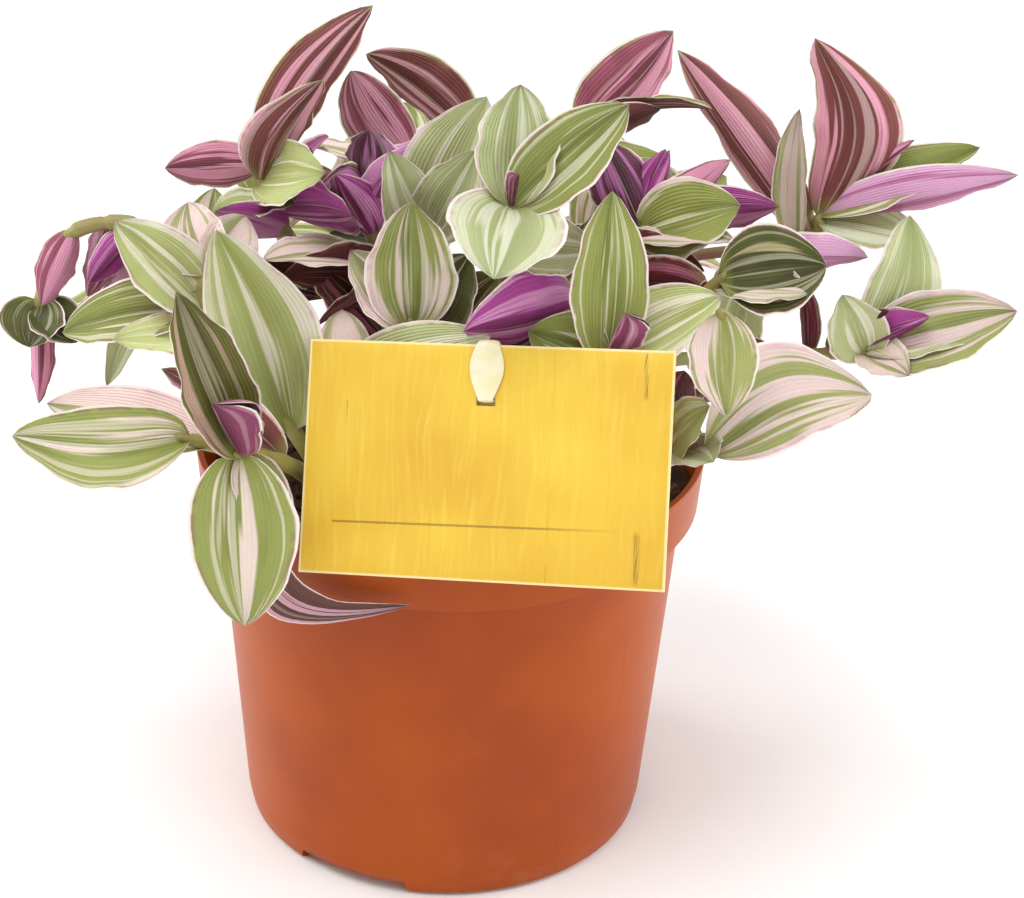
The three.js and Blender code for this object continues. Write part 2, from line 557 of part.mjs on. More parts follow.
/** The card's place: its own X runs along it, its Z up it and its Y out of its back. */
function cardMatrix() {
  const turn = new THREE.Euler(-radians(CARD.leanBack), -radians(CARD.roll), radians(CARD.turn), 'ZXY');
  return new THREE.Matrix4().makeRotationFromEuler(turn).setPosition(point(CARD.centre));
}

function makeCard() {
  const { width, height, thickness, slot } = CARD;
  const card = new THREE.BoxGeometry(width, thickness, height);
  const hole = new THREE.BoxGeometry(slot.width, thickness * 4, slot.height).translate(slot.x, 0, slot.z);
  return solidOf(card).subtract(solidOf(hole));
}

/** Middle of the stake's top, in the part's frame. */
function stakePlace() {
  return new THREE.Vector3(CARD.slot.x, CARD.thickness / 2 + GAP + TIE.thickness + 0.2, CARD.slot.z + 3)
    .applyMatrix4(cardMatrix());
}

/** A flat loop through the card's slot and over its top edge, on a pointed stake in the soil. */
function makeTie() {
  const { slot, thickness, height } = CARD;
  const inner = { back: thickness / 2 + GAP, low: slot.z + slot.height / 2 - GAP, high: height / 2 + GAP };
  const outer = {
    back: inner.back + TIE.thickness,
    low: inner.low - TIE.thickness,
    high: inner.high + TIE.thickness,
  };
  const ring = new THREE.BoxGeometry(TIE.width, outer.back * 2, outer.high - outer.low)
    .translate(slot.x, 0, (outer.high + outer.low) / 2);
  const opening = new THREE.BoxGeometry(TIE.width * 2, inner.back * 2, inner.high - inner.low)
    .translate(slot.x, 0, (inner.high + inner.low) / 2);

  const [narrow, wide] = [TIE.slotWidth / 2, TIE.width / 2];
  const neck = slot.z + slot.height / 2 + 0.5;
  const shoulder = outer.high - TIE.shoulder;
  const widest = outer.high - TIE.widest;
  const teardrop = new THREE.Shape();
  teardrop.moveTo(-narrow, outer.low - 1);
  teardrop.lineTo(narrow, outer.low - 1);
  teardrop.lineTo(narrow, neck);
  teardrop.quadraticCurveTo(wide, shoulder, wide, widest);
  teardrop.quadraticCurveTo(wide, outer.high, narrow, outer.high + 1);
  teardrop.lineTo(-narrow, outer.high + 1);
  teardrop.quadraticCurveTo(-wide, outer.high, -wide, widest);
  teardrop.quadraticCurveTo(-wide, shoulder, -narrow, neck);
  const depth = outer.back * 4;
  const trim = new THREE.ExtrudeGeometry(teardrop, { depth, bevelEnabled: false, curveSegments: 3 })
    .rotateX(Math.PI / 2).translate(slot.x, depth / 2, 0);
  const loop = solidOf(ring).subtract(solidOf(opening)).intersect(solidOf(trim));

  const top = stakePlace();
  const half = STAKE.width / 2;
  const blade = new THREE.Shape();
  blade.moveTo(0, STAKE.foot);
  blade.lineTo(half, STAKE.foot + STAKE.point);
  blade.lineTo(half, top.z);
  blade.lineTo(-half, top.z);
  blade.lineTo(-half, STAKE.foot + STAKE.point);
  blade.closePath();
  const stake = new THREE.ExtrudeGeometry(blade, { depth: STAKE.thickness, bevelEnabled: false })
    .translate(0, 0, -STAKE.thickness / 2).rotateX(Math.PI / 2)
    .rotateZ(radians(CARD.turn)).translate(top.x, top.y, 0);
  return mainBody(loop.transform(cardMatrix().toArray()).add(solidOf(stake)));
}

// ---------------------------------------------------------------- the object

const plant = new THREE.Group();
plant.add(namedMesh('pot', makePot(), POT_PLASTIC));
plant.add(namedMesh('soil', makeSoil(), SOIL_MIX));

const card = namedMesh('card', makeCard(), CARD_STOCK);
card.applyMatrix4(cardMatrix());
plant.add(card, namedMesh('card_tie', makeTie(), TIE_PLASTIC));

for (const shoot of SHOOTS) {
  const purple = shoot.stems[0].leaves[0][7] === 'brown';
  plant.add(namedMesh(`shoot_${shoot.name}`, makeShoot(shoot), purple ? PURPLE_SHOOT : GREEN_SHOOT));
}

export default plant;
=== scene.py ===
"""The looks of a potted tradescantia: variegated leafy shoots in a brown nursery pot of soil,
with a plain yellow card tied at the rim.

Sizes in the classes are millimetres, as in the part's source, and meshes are made in metres.
"""

import logging
import math
import random
from collections.abc import Callable, Iterable
from dataclasses import dataclass, field
from enum import Enum

import bmesh
import bpy
from mathutils import Euler, Matrix, Vector, noise


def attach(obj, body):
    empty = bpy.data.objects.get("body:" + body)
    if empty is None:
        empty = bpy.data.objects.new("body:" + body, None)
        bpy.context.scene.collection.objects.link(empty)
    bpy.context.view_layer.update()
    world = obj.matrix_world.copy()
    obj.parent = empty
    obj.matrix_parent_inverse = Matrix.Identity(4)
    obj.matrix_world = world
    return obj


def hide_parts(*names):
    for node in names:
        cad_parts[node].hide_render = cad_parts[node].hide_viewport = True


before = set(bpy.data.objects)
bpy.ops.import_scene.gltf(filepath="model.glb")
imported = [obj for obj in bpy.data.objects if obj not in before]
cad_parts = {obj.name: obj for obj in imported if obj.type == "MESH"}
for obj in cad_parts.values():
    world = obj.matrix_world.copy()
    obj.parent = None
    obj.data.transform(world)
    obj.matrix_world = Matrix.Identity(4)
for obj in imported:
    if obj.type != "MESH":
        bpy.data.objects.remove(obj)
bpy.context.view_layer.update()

log = logging.getLogger("potted_plant")
MM = 0.001
BLADE_MAP = "Blade"
BAKE_MAP = "OFBake"
CELL_EDGE = 0.04  # margin inside a cell of the baking map, as a share of it
Point = tuple[float, float, float]


def linear(code: str) -> tuple[float, float, float, float]:
    """Turns a colour picked on a screen into the scene-linear colour that shaders use.

    Args:
        code: Six hexadecimal digits, red first.

    Returns:
        Red, green, blue and an alpha of 1.
    """
    parts = [int(code[i : i + 2], 16) / 255 for i in (0, 2, 4)]
    return (*(p / 12.92 if p <= 0.04045 else ((p + 0.055) / 1.055) ** 2.4 for p in parts), 1.0)


def ease(low: float, high: float, x: float) -> float:
    """Goes smoothly from 0 at low to 1 at high.

    Args:
        low: Where the rise begins.
        high: Where it ends.
        x: Where it is read.

    Returns:
        The height of the step at x.
    """
    t = min(max((x - low) / (high - low), 0.0), 1.0)
    return t * t * (3 - 2 * t)


# ---------------------------------------------------------------- shader maths


class Value:
    """A socket that carries a number, which can be used in Python arithmetic."""

    def __init__(self, graph: "Graph", socket: bpy.types.NodeSocket) -> None:
        """Keeps the graph that new nodes go into, and the socket."""
        self.graph = graph
        self.socket = socket

    def maths(self, operation: str, *operands: "Value | float", clamp: bool = False) -> "Value":
        """Adds a Math node that works on this value first.

        Args:
            operation: The node's operation.
            operands: The other values or numbers.
            clamp: Whether the result is kept between 0 and 1.

        Returns:
            The node's result.
        """
        return self.graph.maths(operation, self, *operands, clamp=clamp)

    def __add__(self, other: "Value | float") -> "Value":
        """Adds."""
        return self.maths("ADD", other)

    __radd__ = __add__

    def __sub__(self, other: "Value | float") -> "Value":
        """Takes other away."""
        return self.maths("SUBTRACT", other)

    def __rsub__(self, other: "Value | float") -> "Value":
        """Takes this value away from other."""
        return self.graph.maths("SUBTRACT", other, self)

    def __mul__(self, other: "Value | float") -> "Value":
        """Multiplies."""
        return self.maths("MULTIPLY", other)

    __rmul__ = __mul__

    def __truediv__(self, other: "Value | float") -> "Value":
        """Divides by other."""
        return self.maths("DIVIDE", other)

    def __abs__(self) -> "Value":
        """Drops the sign."""
        return self.maths("ABSOLUTE")

    def sine(self) -> "Value":
        """Gives the sine."""
        return self.maths("SINE")

    def kept(self) -> "Value":
        """Keeps the value between 0 and 1."""
        return self.maths("ADD", 0.0, clamp=True)

    def step(self, low: float, high: float) -> "Value":
        """Goes smoothly from 0 at low to 1 at high, or down where low is the larger.

        Args:
            low: Where the change begins.
            high: Where it ends.

        Returns:
            The share.
        """
        backward = low > high
        node = self.graph.add(
            "ShaderNodeMapRange",
            {"interpolation_type": "SMOOTHSTEP"},
            Value=self,
            **{
                "From Min": min(low, high),
                "From Max": max(low, high),
                "To Min": 1.0 if backward else 0.0,
                "To Max": 0.0 if backward else 1.0,
            },
        )
        return Value(self.graph, node.outputs["Result"])


class Graph:
    """The nodes of one material, with its Principled shader."""

    def __init__(self, name: str) -> None:
        """Starts a material with one Principled shader.

        Args:
            name: The material's name.
        """
        self.material = bpy.data.materials.new(name)
        self.material.use_nodes = True
        self.tree = self.material.node_tree
        self.tree.nodes.clear()
        self.shader = self.add("ShaderNodeBsdfPrincipled")
        output = self.add("ShaderNodeOutputMaterial")
        self.tree.links.new(self.shader.outputs["BSDF"], output.inputs["Surface"])

    def add(self, kind: str, settings: dict | None = None, **sockets: object) -> bpy.types.Node:
        """Adds one node.

        Args:
            kind: The node's type.
            settings: Properties of the node, set before its sockets.
            sockets: A value, or a link, for each socket by its name, or by "_" and its number.

        Returns:
            The node.
        """
        node = self.tree.nodes.new(kind)
        for key, value in (settings or {}).items():
            setattr(node, key, value)
        for key, value in sockets.items():
            socket = node.inputs[int(key[1:])] if key.startswith("_") else node.inputs[key]
            self.put(socket, value)
        return node

    def put(self, socket: bpy.types.NodeSocket, value: object) -> None:
        """Links a socket, or sets it.

        Args:
            socket: The input.
            value: A Value, an output socket, or a plain number or tuple.
        """
        if isinstance(value, Value):
            value = value.socket
        if isinstance(value, bpy.types.NodeSocket):
            self.tree.links.new(value, socket)
        else:
            socket.default_value = value

    def maths(self, operation: str, *operands: Value | float, clamp: bool = False) -> Value:
        """Adds a Math node.

        Args:
            operation: The node's operation.
            operands: The values or numbers that it works on.
            clamp: Whether the result is kept between 0 and 1.

        Returns:
            The node's result.
        """
        node = self.add("ShaderNodeMath", {"operation": operation, "use_clamp": clamp})
        for socket, operand in zip(node.inputs, operands):
            self.put(socket, operand)
        return Value(self, node.outputs[0])

    def mix(self, share: Value | float, first: object, second: object) -> bpy.types.NodeSocket:
        """Mixes two colours.

        Args:
            share: How much of the second.
            first: A colour or its socket.
            second: A colour or its socket.

        Returns:
            The mixed colour's socket.
        """
        node = self.add("ShaderNodeMix", {"data_type": "RGBA"}, _0=share, _6=first, _7=second)
        return node.outputs[2]

    def shaded(self, colour: object, value: Value) -> bpy.types.NodeSocket:
        """Makes a colour lighter or darker by a value near 1."""
        node = self.add("ShaderNodeHueSaturation", Color=colour, Value=value)
        return node.outputs["Color"]

    def vector(self, x: Value, y: Value, z: Value | float = 0.0) -> bpy.types.NodeSocket:
        """Joins three numbers to a vector."""
        return self.add("ShaderNodeCombineXYZ", X=x, Y=y, Z=z).outputs[0]

    def parts(self, socket: bpy.types.NodeSocket) -> list[Value]:
        """Splits a vector into its numbers."""
        node = self.add("ShaderNodeSeparateXYZ", _0=socket)
        return [Value(self, out) for out in node.outputs]

    def place(self) -> bpy.types.NodeSocket:
        """Gives the place on the object, in metres."""
        return self.add("ShaderNodeTexCoord").outputs["Object"]

    def blade_map(self) -> list[Value]:
        """Gives the place across and along a piece by its own map."""
        return self.parts(self.add("ShaderNodeUVMap", {"uv_map": BLADE_MAP}).outputs[0])

    def colour_of(self, name: str) -> bpy.types.NodeSocket:
        """Reads a colour attribute of the mesh."""
        return self.add("ShaderNodeAttribute", {"attribute_name": name}).outputs["Color"]

    def vector_of(self, name: str) -> list[Value]:
        """Reads a vector attribute of the mesh as three numbers."""
        return self.parts(self.add("ShaderNodeAttribute", {"attribute_name": name}).outputs["Vector"])

    def noise(self, where: object, scale: float, detail: float = 2.0, rough: float = 0.5) -> Value:
        """Adds a noise texture.

        Args:
            where: The vector that it is read at.
            scale: Its scale.
            detail: Its octaves.
            rough: How strong the finer octaves are.

        Returns:
            The noise, about 0.5 on average.
        """
        node = self.add("ShaderNodeTexNoise", Vector=where, Scale=scale, Detail=detail, Roughness=rough)
        return Value(self, node.outputs[0])

    def bump(self, height: Value, depth: float) -> None:
        """Raises the shader's surface.

        Args:
            height: The relief, from 0 to 1.
            depth: How far 1 stands above 0, in metres.
        """
        node = self.add("ShaderNodeBump", Height=height, Distance=depth, Strength=1.0)
        self.put(self.shader.inputs["Normal"], node.outputs[0])

    def finish(self, **sockets: object) -> bpy.types.Material:
        """Sets the shader's sockets.

        Args:
            sockets: A value, or a link, for each socket by its name, with "_" for a space.

        Returns:
            The material.
        """
        for key, value in sockets.items():
            self.put(self.shader.inputs[key.replace("_", " ")], value)
        return self.material


# ---------------------------------------------------------------- finishes


class Tone(Enum):
    """How a leaf is coloured on the side that the photograph shows."""

    DARK = "dark"
    ROLL = "roll"
    FRESH = "fresh"
    GREEN = "green"
    PINK = "pink"
    MIXED = "mixed"
    LIME = "lime"
    PALE = "pale"
    DARK_GREEN = "dark_green"
    WIDE = "wide"
    MAGENTA = "magenta"
    BROWN = "brown"
    PINK_STRIPE = "pink_stripe"
    DARK_RED = "dark_red"
    DARK_PURPLE = "dark_purple"
    PLUM = "plum"
    LILAC = "lilac"


@dataclass(frozen=True)
class SkinColours:
    """One side of a leaf.

    Attributes:
        ground: Between the stripes.
        heart: Along the midrib.
        band: The broad stripes.
        bands: How much of the width the broad stripes take, from 0 to 1.
        lines: How strong the thin pale lines are.
    """

    ground: str
    heart: str
    band: str
    bands: float
    lines: float


UPPER = {
    Tone.PLUM: SkinColours("6e4a40", "4a2c28", "dcaab8", 0.55, 0.3),
    Tone.DARK: SkinColours("6f6c34", "3f4218", "c4a090", 0.28, 0.45),
    Tone.ROLL: SkinColours("6b5638", "3f3a1e", "a0607c", 0.35, 0.2),
    Tone.FRESH: SkinColours("b3bb7a", "93994f", "e2dcc4", 0.30, 0.7),
    Tone.GREEN: SkinColours("8f9650", "68702f", "dcd6ba", 0.26, 0.65),
    Tone.PINK: SkinColours("b2b482", "919460", "ead2ca", 0.58, 0.5),
    Tone.MIXED: SkinColours("959c56", "6e7838", "e2cfc4", 0.46, 0.6),
    Tone.LIME: SkinColours("c8d08c", "b0b868", "eceec8", 0.25, 0.6),
    Tone.PALE: SkinColours("b4bb88", "9ba46c", "d6d8bc", 0.38, 0.8),
    Tone.DARK_GREEN: SkinColours("54562a", "303214", "aaa076", 0.20, 0.5),
    Tone.WIDE: SkinColours("9a9e60", "7c8246", "d8c0bb", 0.56, 0.45),
}
LOWER = {
    Tone.LILAC: SkinColours("bc729e", "8e4468", "dda6cc", 0.5, 0.35),
    Tone.MAGENTA: SkinColours("a94592", "641f44", "d58cc0", 0.44, 0.35),
    Tone.BROWN: SkinColours("7e4644", "5c302c", "d99aac", 0.42, 0.55),
    Tone.PINK_STRIPE: SkinColours("985064", "6c3440", "dc96b2", 0.62, 0.4),
    Tone.DARK_RED: SkinColours("6a2c34", "421c20", "aa6078", 0.34, 0.3),
    Tone.DARK_PURPLE: SkinColours("623446", "3c1e28", "b06ea0", 0.40, 0.35),
    Tone.ROLL: SkinColours("8c3f64", "5c2a3e", "cf8fae", 0.3, 0.3),
}
PLAIN_UPPER = UPPER[Tone.GREEN]
PLAIN_LOWER = SkinColours("8e5266", "6c3a40", "d096b0", 0.48, 0.5)


@dataclass(frozen=True)
class LeafFinish:
    """The skin of a leaf: stripes that run with its veins, a pale margin and a satin surface.

    Attributes:
        margin: Colour of the thin rim.
        line: Colour of the thin lines.
        rib: Colour of the midrib.
        base: Colour where the blade leaves its stem.
        margin_at: Where the rim begins, as a share of the half-width.
        veins: How many veins run along each half.
        relief: How far the veins stand out, in metres.
    """

    margin: str = "f0e2d8"
    line: str = "ece8d0"
    rib: str = "e4dfc0"
    base: str = "99a048"
    margin_at: float = 0.945
    veins: float = 22.0
    relief: float = 0.00016

    def make(self) -> bpy.types.Material:
        """Makes the material, which reads the colours and the figure that the mesh carries.

        Returns:
            The material.
        """
        g = Graph("leaf_skin")
        u, v, _ = g.blade_map()
        bands, lines, seed = g.vector_of("figure")
        across = u * 2 - 1
        off = abs(across)
        wander = (g.noise(g.vector(v * 2.2, seed * 9.0, across), 1.0, 1.0) - 0.5) * 0.12
        swing = across + wander
        broad = g.noise(g.vector(swing * 2.1, v * 0.32, seed * 13.0), 1.0, 3.0, 0.62)
        fine = g.noise(g.vector(swing * 4.8, v * 0.30, seed * 21.0 + 4.0), 1.0, 2.0, 0.55)
        edge = 0.66 - bands * 0.34
        band = ((broad - edge) / 0.045).kept()
        patches = g.noise(g.vector(swing * 3.0, v * 1.2, seed * 5.0), 1.0).step(0.3, 0.6)
        heart = (1 - off).step(0.30, 0.95) * patches
        colour = g.mix(heart * 0.85, g.colour_of("ground"), g.colour_of("heart"))
        colour = g.mix(band, colour, g.colour_of("band"))
        thin = fine.step(0.56, 0.60) * lines * (1 - band * 0.6)
        colour = g.mix(thin * 0.8, colour, g.mix(0.5, linear(self.line), g.colour_of("band")))
        colour = g.mix(v.step(0.16, 0.0) * 0.6, colour, linear(self.base))
        rib = off.step(0.035, 0.0) * (1 - v).step(0.0, 0.7)
        colour = g.mix(rib * lines * 0.6, colour, linear(self.rib))
        ragged = (g.noise(g.vector(v * 30.0, seed * 7.0), 1.0, 1.0) - 0.5) * 0.02
        rim = (off + ragged).step(self.margin_at - 0.02, self.margin_at + 0.015)
        colour = g.mix(rim * 0.95, colour, linear(self.margin))
        comb = (across * (self.veins * math.pi) + wander * 8.0).sine() * 0.5 + 0.5
        cells = g.noise(g.place(), 900.0, 2.0)
        blotch = g.noise(g.place(), 70.0, 2.0)
        value = 0.90 + comb * 0.05 + cells * 0.08 + blotch * 0.12
        colour = g.shaded(colour, value)
        g.bump(comb * 0.6 + cells * 0.3 - rim * 0.3, self.relief)
        return g.finish(
            Base_Color=colour,
            Roughness=0.40 + cells * 0.14 + band * 0.06,
            Specular_IOR_Level=0.24,
            Subsurface_Weight=0.12,
            Subsurface_Radius=(0.6, 0.9, 0.35),
            Subsurface_Scale=0.0012,
        )


@dataclass(frozen=True)
class StemFinish:
    """The skin of a stem: streaks along it, over the colours that the mesh carries.

    Attributes:
        streak: Colour of the streaks.
    """

    streak: str = "a85a68"

    def make(self) -> bpy.types.Material:
        """Makes the material.

        Returns:
            The material.
        """
        g = Graph("stem_skin")
        u, v, _ = g.blade_map()
        _, lines, seed = g.vector_of("figure")
        streak = g.noise(g.vector(u * 9.0, v * 2.5, seed * 6.0), 1.0, 2.0).step(0.5, 0.68)
        colour = g.mix(streak * lines, g.colour_of("ground"), linear(self.streak))
        cells = g.noise(g.place(), 700.0, 2.0)
        colour = g.shaded(colour, 0.86 + cells * 0.28)
        g.bump(g.noise(g.vector(u * 26.0, v * 6.0, seed), 1.0), 0.0002)
        return g.finish(
            Base_Color=colour,
            Roughness=0.42 + cells * 0.12,
            Subsurface_Weight=0.1,
            Subsurface_Radius=(0.8, 0.6, 0.3),
            Subsurface_Scale=0.001,
        )


@dataclass(frozen=True)
class PotFinish:
    """Moulded brown plastic: satin, a little mottled, with faint scuffs and dust.

    Attributes:
        colour: Of the plastic.
        deep: Colour of its darker clouds.
        dust: Colour of the dust.
    """

    colour: str = "a84a04"
    deep: str = "9a3e08"
    dust: str = "c07a48"

    def make(self) -> bpy.types.Material:
        """Makes the material.

        Returns:
            The material.
        """
        g = Graph("pot_plastic")
        place = g.place()
        x, y, z = g.parts(place)
        cloud = g.noise(place, 26.0, 3.0)
        streak = g.noise(g.vector(x * 40.0, y * 40.0, z * 900.0), 1.0, 2.0)
        grain = g.noise(place, 1800.0, 1.0)
        colour = g.mix(cloud.step(0.35, 0.7), linear(self.colour), linear(self.deep))
        dust = g.noise(place, 60.0, 4.0, 0.65).step(0.56, 0.8) * (0.25 + z.step(0.03, 0.0) * 0.5)
        colour = g.mix(dust * 0.35, colour, linear(self.dust))
        scuff = g.noise(g.vector(x * 300.0, y * 300.0, z * 22.0), 1.0, 3.0).step(0.66, 0.72)
        colour = g.shaded(colour, 0.97 + streak * 0.05 + grain * 0.02)
        g.bump(grain * 0.5 + streak * 0.4 + scuff * 0.4, 0.00006)
        return g.finish(
            Base_Color=colour,
            Roughness=0.36 + streak * 0.06 + dust * 0.25 + scuff * 0.1,
            Specular_IOR_Level=0.22,
            Subsurface_Weight=0.04,
            Subsurface_Radius=(1.0, 0.4, 0.2),
            Subsurface_Scale=0.002,
        )


@dataclass(frozen=True)
class SoilFinish:
    """Moist peat mix, with crumbs and fibres in their own colours.

    Attributes:
        peat: Colour of the clouds over the mesh's own colours.
        fleck: Colour of the fine flecks.
    """

    peat: str = "57402f"
    fleck: str = "8a7358"

    def make(self) -> bpy.types.Material:
        """Makes the material, tinted by the colour that the mesh carries.

        Returns:
            The material.
        """
        g = Graph("soil_mix")
        place = g.place()
        coarse = g.noise(place, 220.0, 4.0, 0.7)
        fine = g.noise(place, 1500.0, 3.0, 0.7)
        colour = g.mix(coarse.step(0.35, 0.7), g.colour_of("ground"), linear(self.peat))
        colour = g.mix(fine.step(0.66, 0.76) * 0.5, colour, linear(self.fleck))
        g.bump(coarse * 0.7 + fine * 0.5, 0.0009)
        return g.finish(Base_Color=g.shaded(colour, 0.6 + fine * 0.8), Roughness=0.82 + coarse * 0.15)


@dataclass(frozen=True)
class CardFinish:
    """Card printed like painted boards: upright grain, joints, splits, a rule and a pale edge.

    Attributes:
        paint: Colour of the boards.
        warm: Colour of their darker clouds and of one corner.
        light: Colour of the broad grain.
        mark: Colour of the joints and splits.
        ink: Colour of the rule.
        edge: Colour of the margin.
        joints: Where the boards meet, as shares of the width.
        splits: Place across, lower end, upper end and half-width of each split, as shares.
    """

    paint: str = "e8c23a"
    warm: str = "d9aa2a"
    light: str = "f1d55c"
    mark: str = "8a6420"
    ink: str = "7a5a1c"
    edge: str = "f4e6ac"
    joints: tuple[float, float] = (0.36, 0.68)
    splits: tuple[tuple[float, float, float, float], ...] = (
        (0.928, 0.78, 1.0, 0.009),
        (0.920, 0.01, 0.25, 0.011),
        (0.115, 0.62, 0.76, 0.004),
    )

    def make(self) -> bpy.types.Material:
        """Makes the material, which reads the place across and up the card.

        Returns:
            The material.
        """
        g = Graph("card_print")
        u, v, _ = g.blade_map()
        wave = g.noise(g.vector(u * 3.0, v * 1.3), 1.0, 2.0) * 0.10
        grain = g.noise(g.vector((u + wave) * 60.0, v * 2.4), 1.0, 4.0, 0.6)
        thread = g.noise(g.vector((u + wave) * 210.0, v * 5.0), 1.0, 3.0, 0.6)
        cloud = g.noise(g.vector(u * 2.2, v * 1.6, 3.0), 1.0, 2.0)
        colour = g.mix(cloud.step(0.3, 0.7), linear(self.paint), linear(self.warm))
        colour = g.mix(grain.step(0.45, 0.75) * 0.4, colour, linear(self.light))
        colour = g.mix((u * 0.8 - v).step(-0.1, 0.7) * 0.55, colour, linear(self.warm))
        colour = g.mix(thread.step(0.60, 0.74) * 0.17, colour, linear(self.mark))
        joints = [abs(u - at).step(0.006, 0.001) for at in self.joints]
        gaps = joints[0] * thread.step(0.5, 0.65) * 0.12 + joints[1] * thread.step(0.45, 0.6) * 0.22
        colour = g.mix(gaps.kept(), colour, linear(self.mark))
        for at, low, high, width in self.splits:
            inside = v.step(low, low + 0.03) * v.step(high, high - 0.03)
            split = abs(u + (grain - 0.5) * 0.03 - at).step(width, width * 0.2)
            colour = g.mix(split * inside * thread.step(0.4, 0.62) * 0.85, colour, linear(self.mark))
        rule = abs(v - (0.224 + u * 0.018)).step(0.006, 0.0035)
        rule = rule * u.step(0.085, 0.09) * u.step(0.92, 0.60) * (0.45 + thread * 0.7)
        colour = g.mix(rule.kept() * 0.8, colour, linear(self.ink))
        margin = (abs(u - 0.5) * 2).step(0.984, 0.992) + (abs(v - 0.5) * 2).step(0.975, 0.986)
        colour = g.mix(margin.kept() * 0.75, colour, linear(self.edge))
        g.bump(grain * 0.3 + thread * 0.4, 0.00008)
        return g.finish(Base_Color=colour, Roughness=0.46 + thread * 0.16)


@dataclass(frozen=True)
class TieFinish:
    """Milky plastic of the tie and its stake.

    Attributes:
        colour: Of the plastic.
        cloudy: Colour of its clouds.
    """

    colour: str = "f5ecc9"
    cloudy: str = "e9d68c"

    def make(self) -> bpy.types.Material:
        """Makes the material.

        Returns:
            The material.
        """
        g = Graph("tie_plastic")
        cloud = g.noise(g.place(), 260.0, 3.0)
        colour = g.mix(cloud.step(0.35, 0.75) * 0.5, linear(self.colour), linear(self.cloudy))
        g.bump(cloud, 0.0001)
        return g.finish(
            Base_Color=colour,
            Roughness=0.26 + cloud * 0.14,
            Subsurface_Weight=0.35,
            Subsurface_Radius=(1.0, 0.9, 0.6),
            Subsurface_Scale=0.002,
        )


@dataclass(frozen=True)
class StudioFinish:
    """The pale floor.

    Attributes:
        low: Its darker colour.
        high: Its lighter colour.
    """

    low: str = "f7f7f6"
    high: str = "fbfbfa"

    def make(self) -> bpy.types.Material:
        """Makes the material.

        Returns:
            The material.
        """
        g = Graph("studio_floor")
        cloud = g.noise(g.place(), 3.0)
        return g.finish(Base_Color=g.mix(cloud, linear(self.low), linear(self.high)), Roughness=0.75)


# ---------------------------------------------------------------- mesh tools


def metres(point: Iterable[float]) -> Vector:
    """Turns a place in millimetres into metres."""
    return Vector(point) * MM


def spaced(ends: tuple[float, ...], counts: tuple[int, ...]) -> list[float]:
    """Spaces places evenly within each span of a line.

    Args:
        ends: Where the spans end.
        counts: How many steps each span has.

    Returns:
        All the places, from the first end to the last.
    """
    found = []
    for low, high, count in zip(ends, ends[1:], counts):
        found += [low + (high - low) * i / count for i in range(count)]
    return [*found, ends[-1]]


def round_edges(bm: bmesh.types.BMesh, edges: list[bmesh.types.BMEdge], by: float, segments: int) -> None:
    """Rounds edges over.

    Args:
        bm: The mesh that they belong to.
        edges: The edges.
        by: How far each is cut back, in millimetres.
        segments: Faces across each round.
    """
    bmesh.ops.bevel(
        bm,
        geom=edges,
        offset=by * MM,
        segments=segments,
        profile=0.5,
        affect="EDGES",
        material=-1,
    )


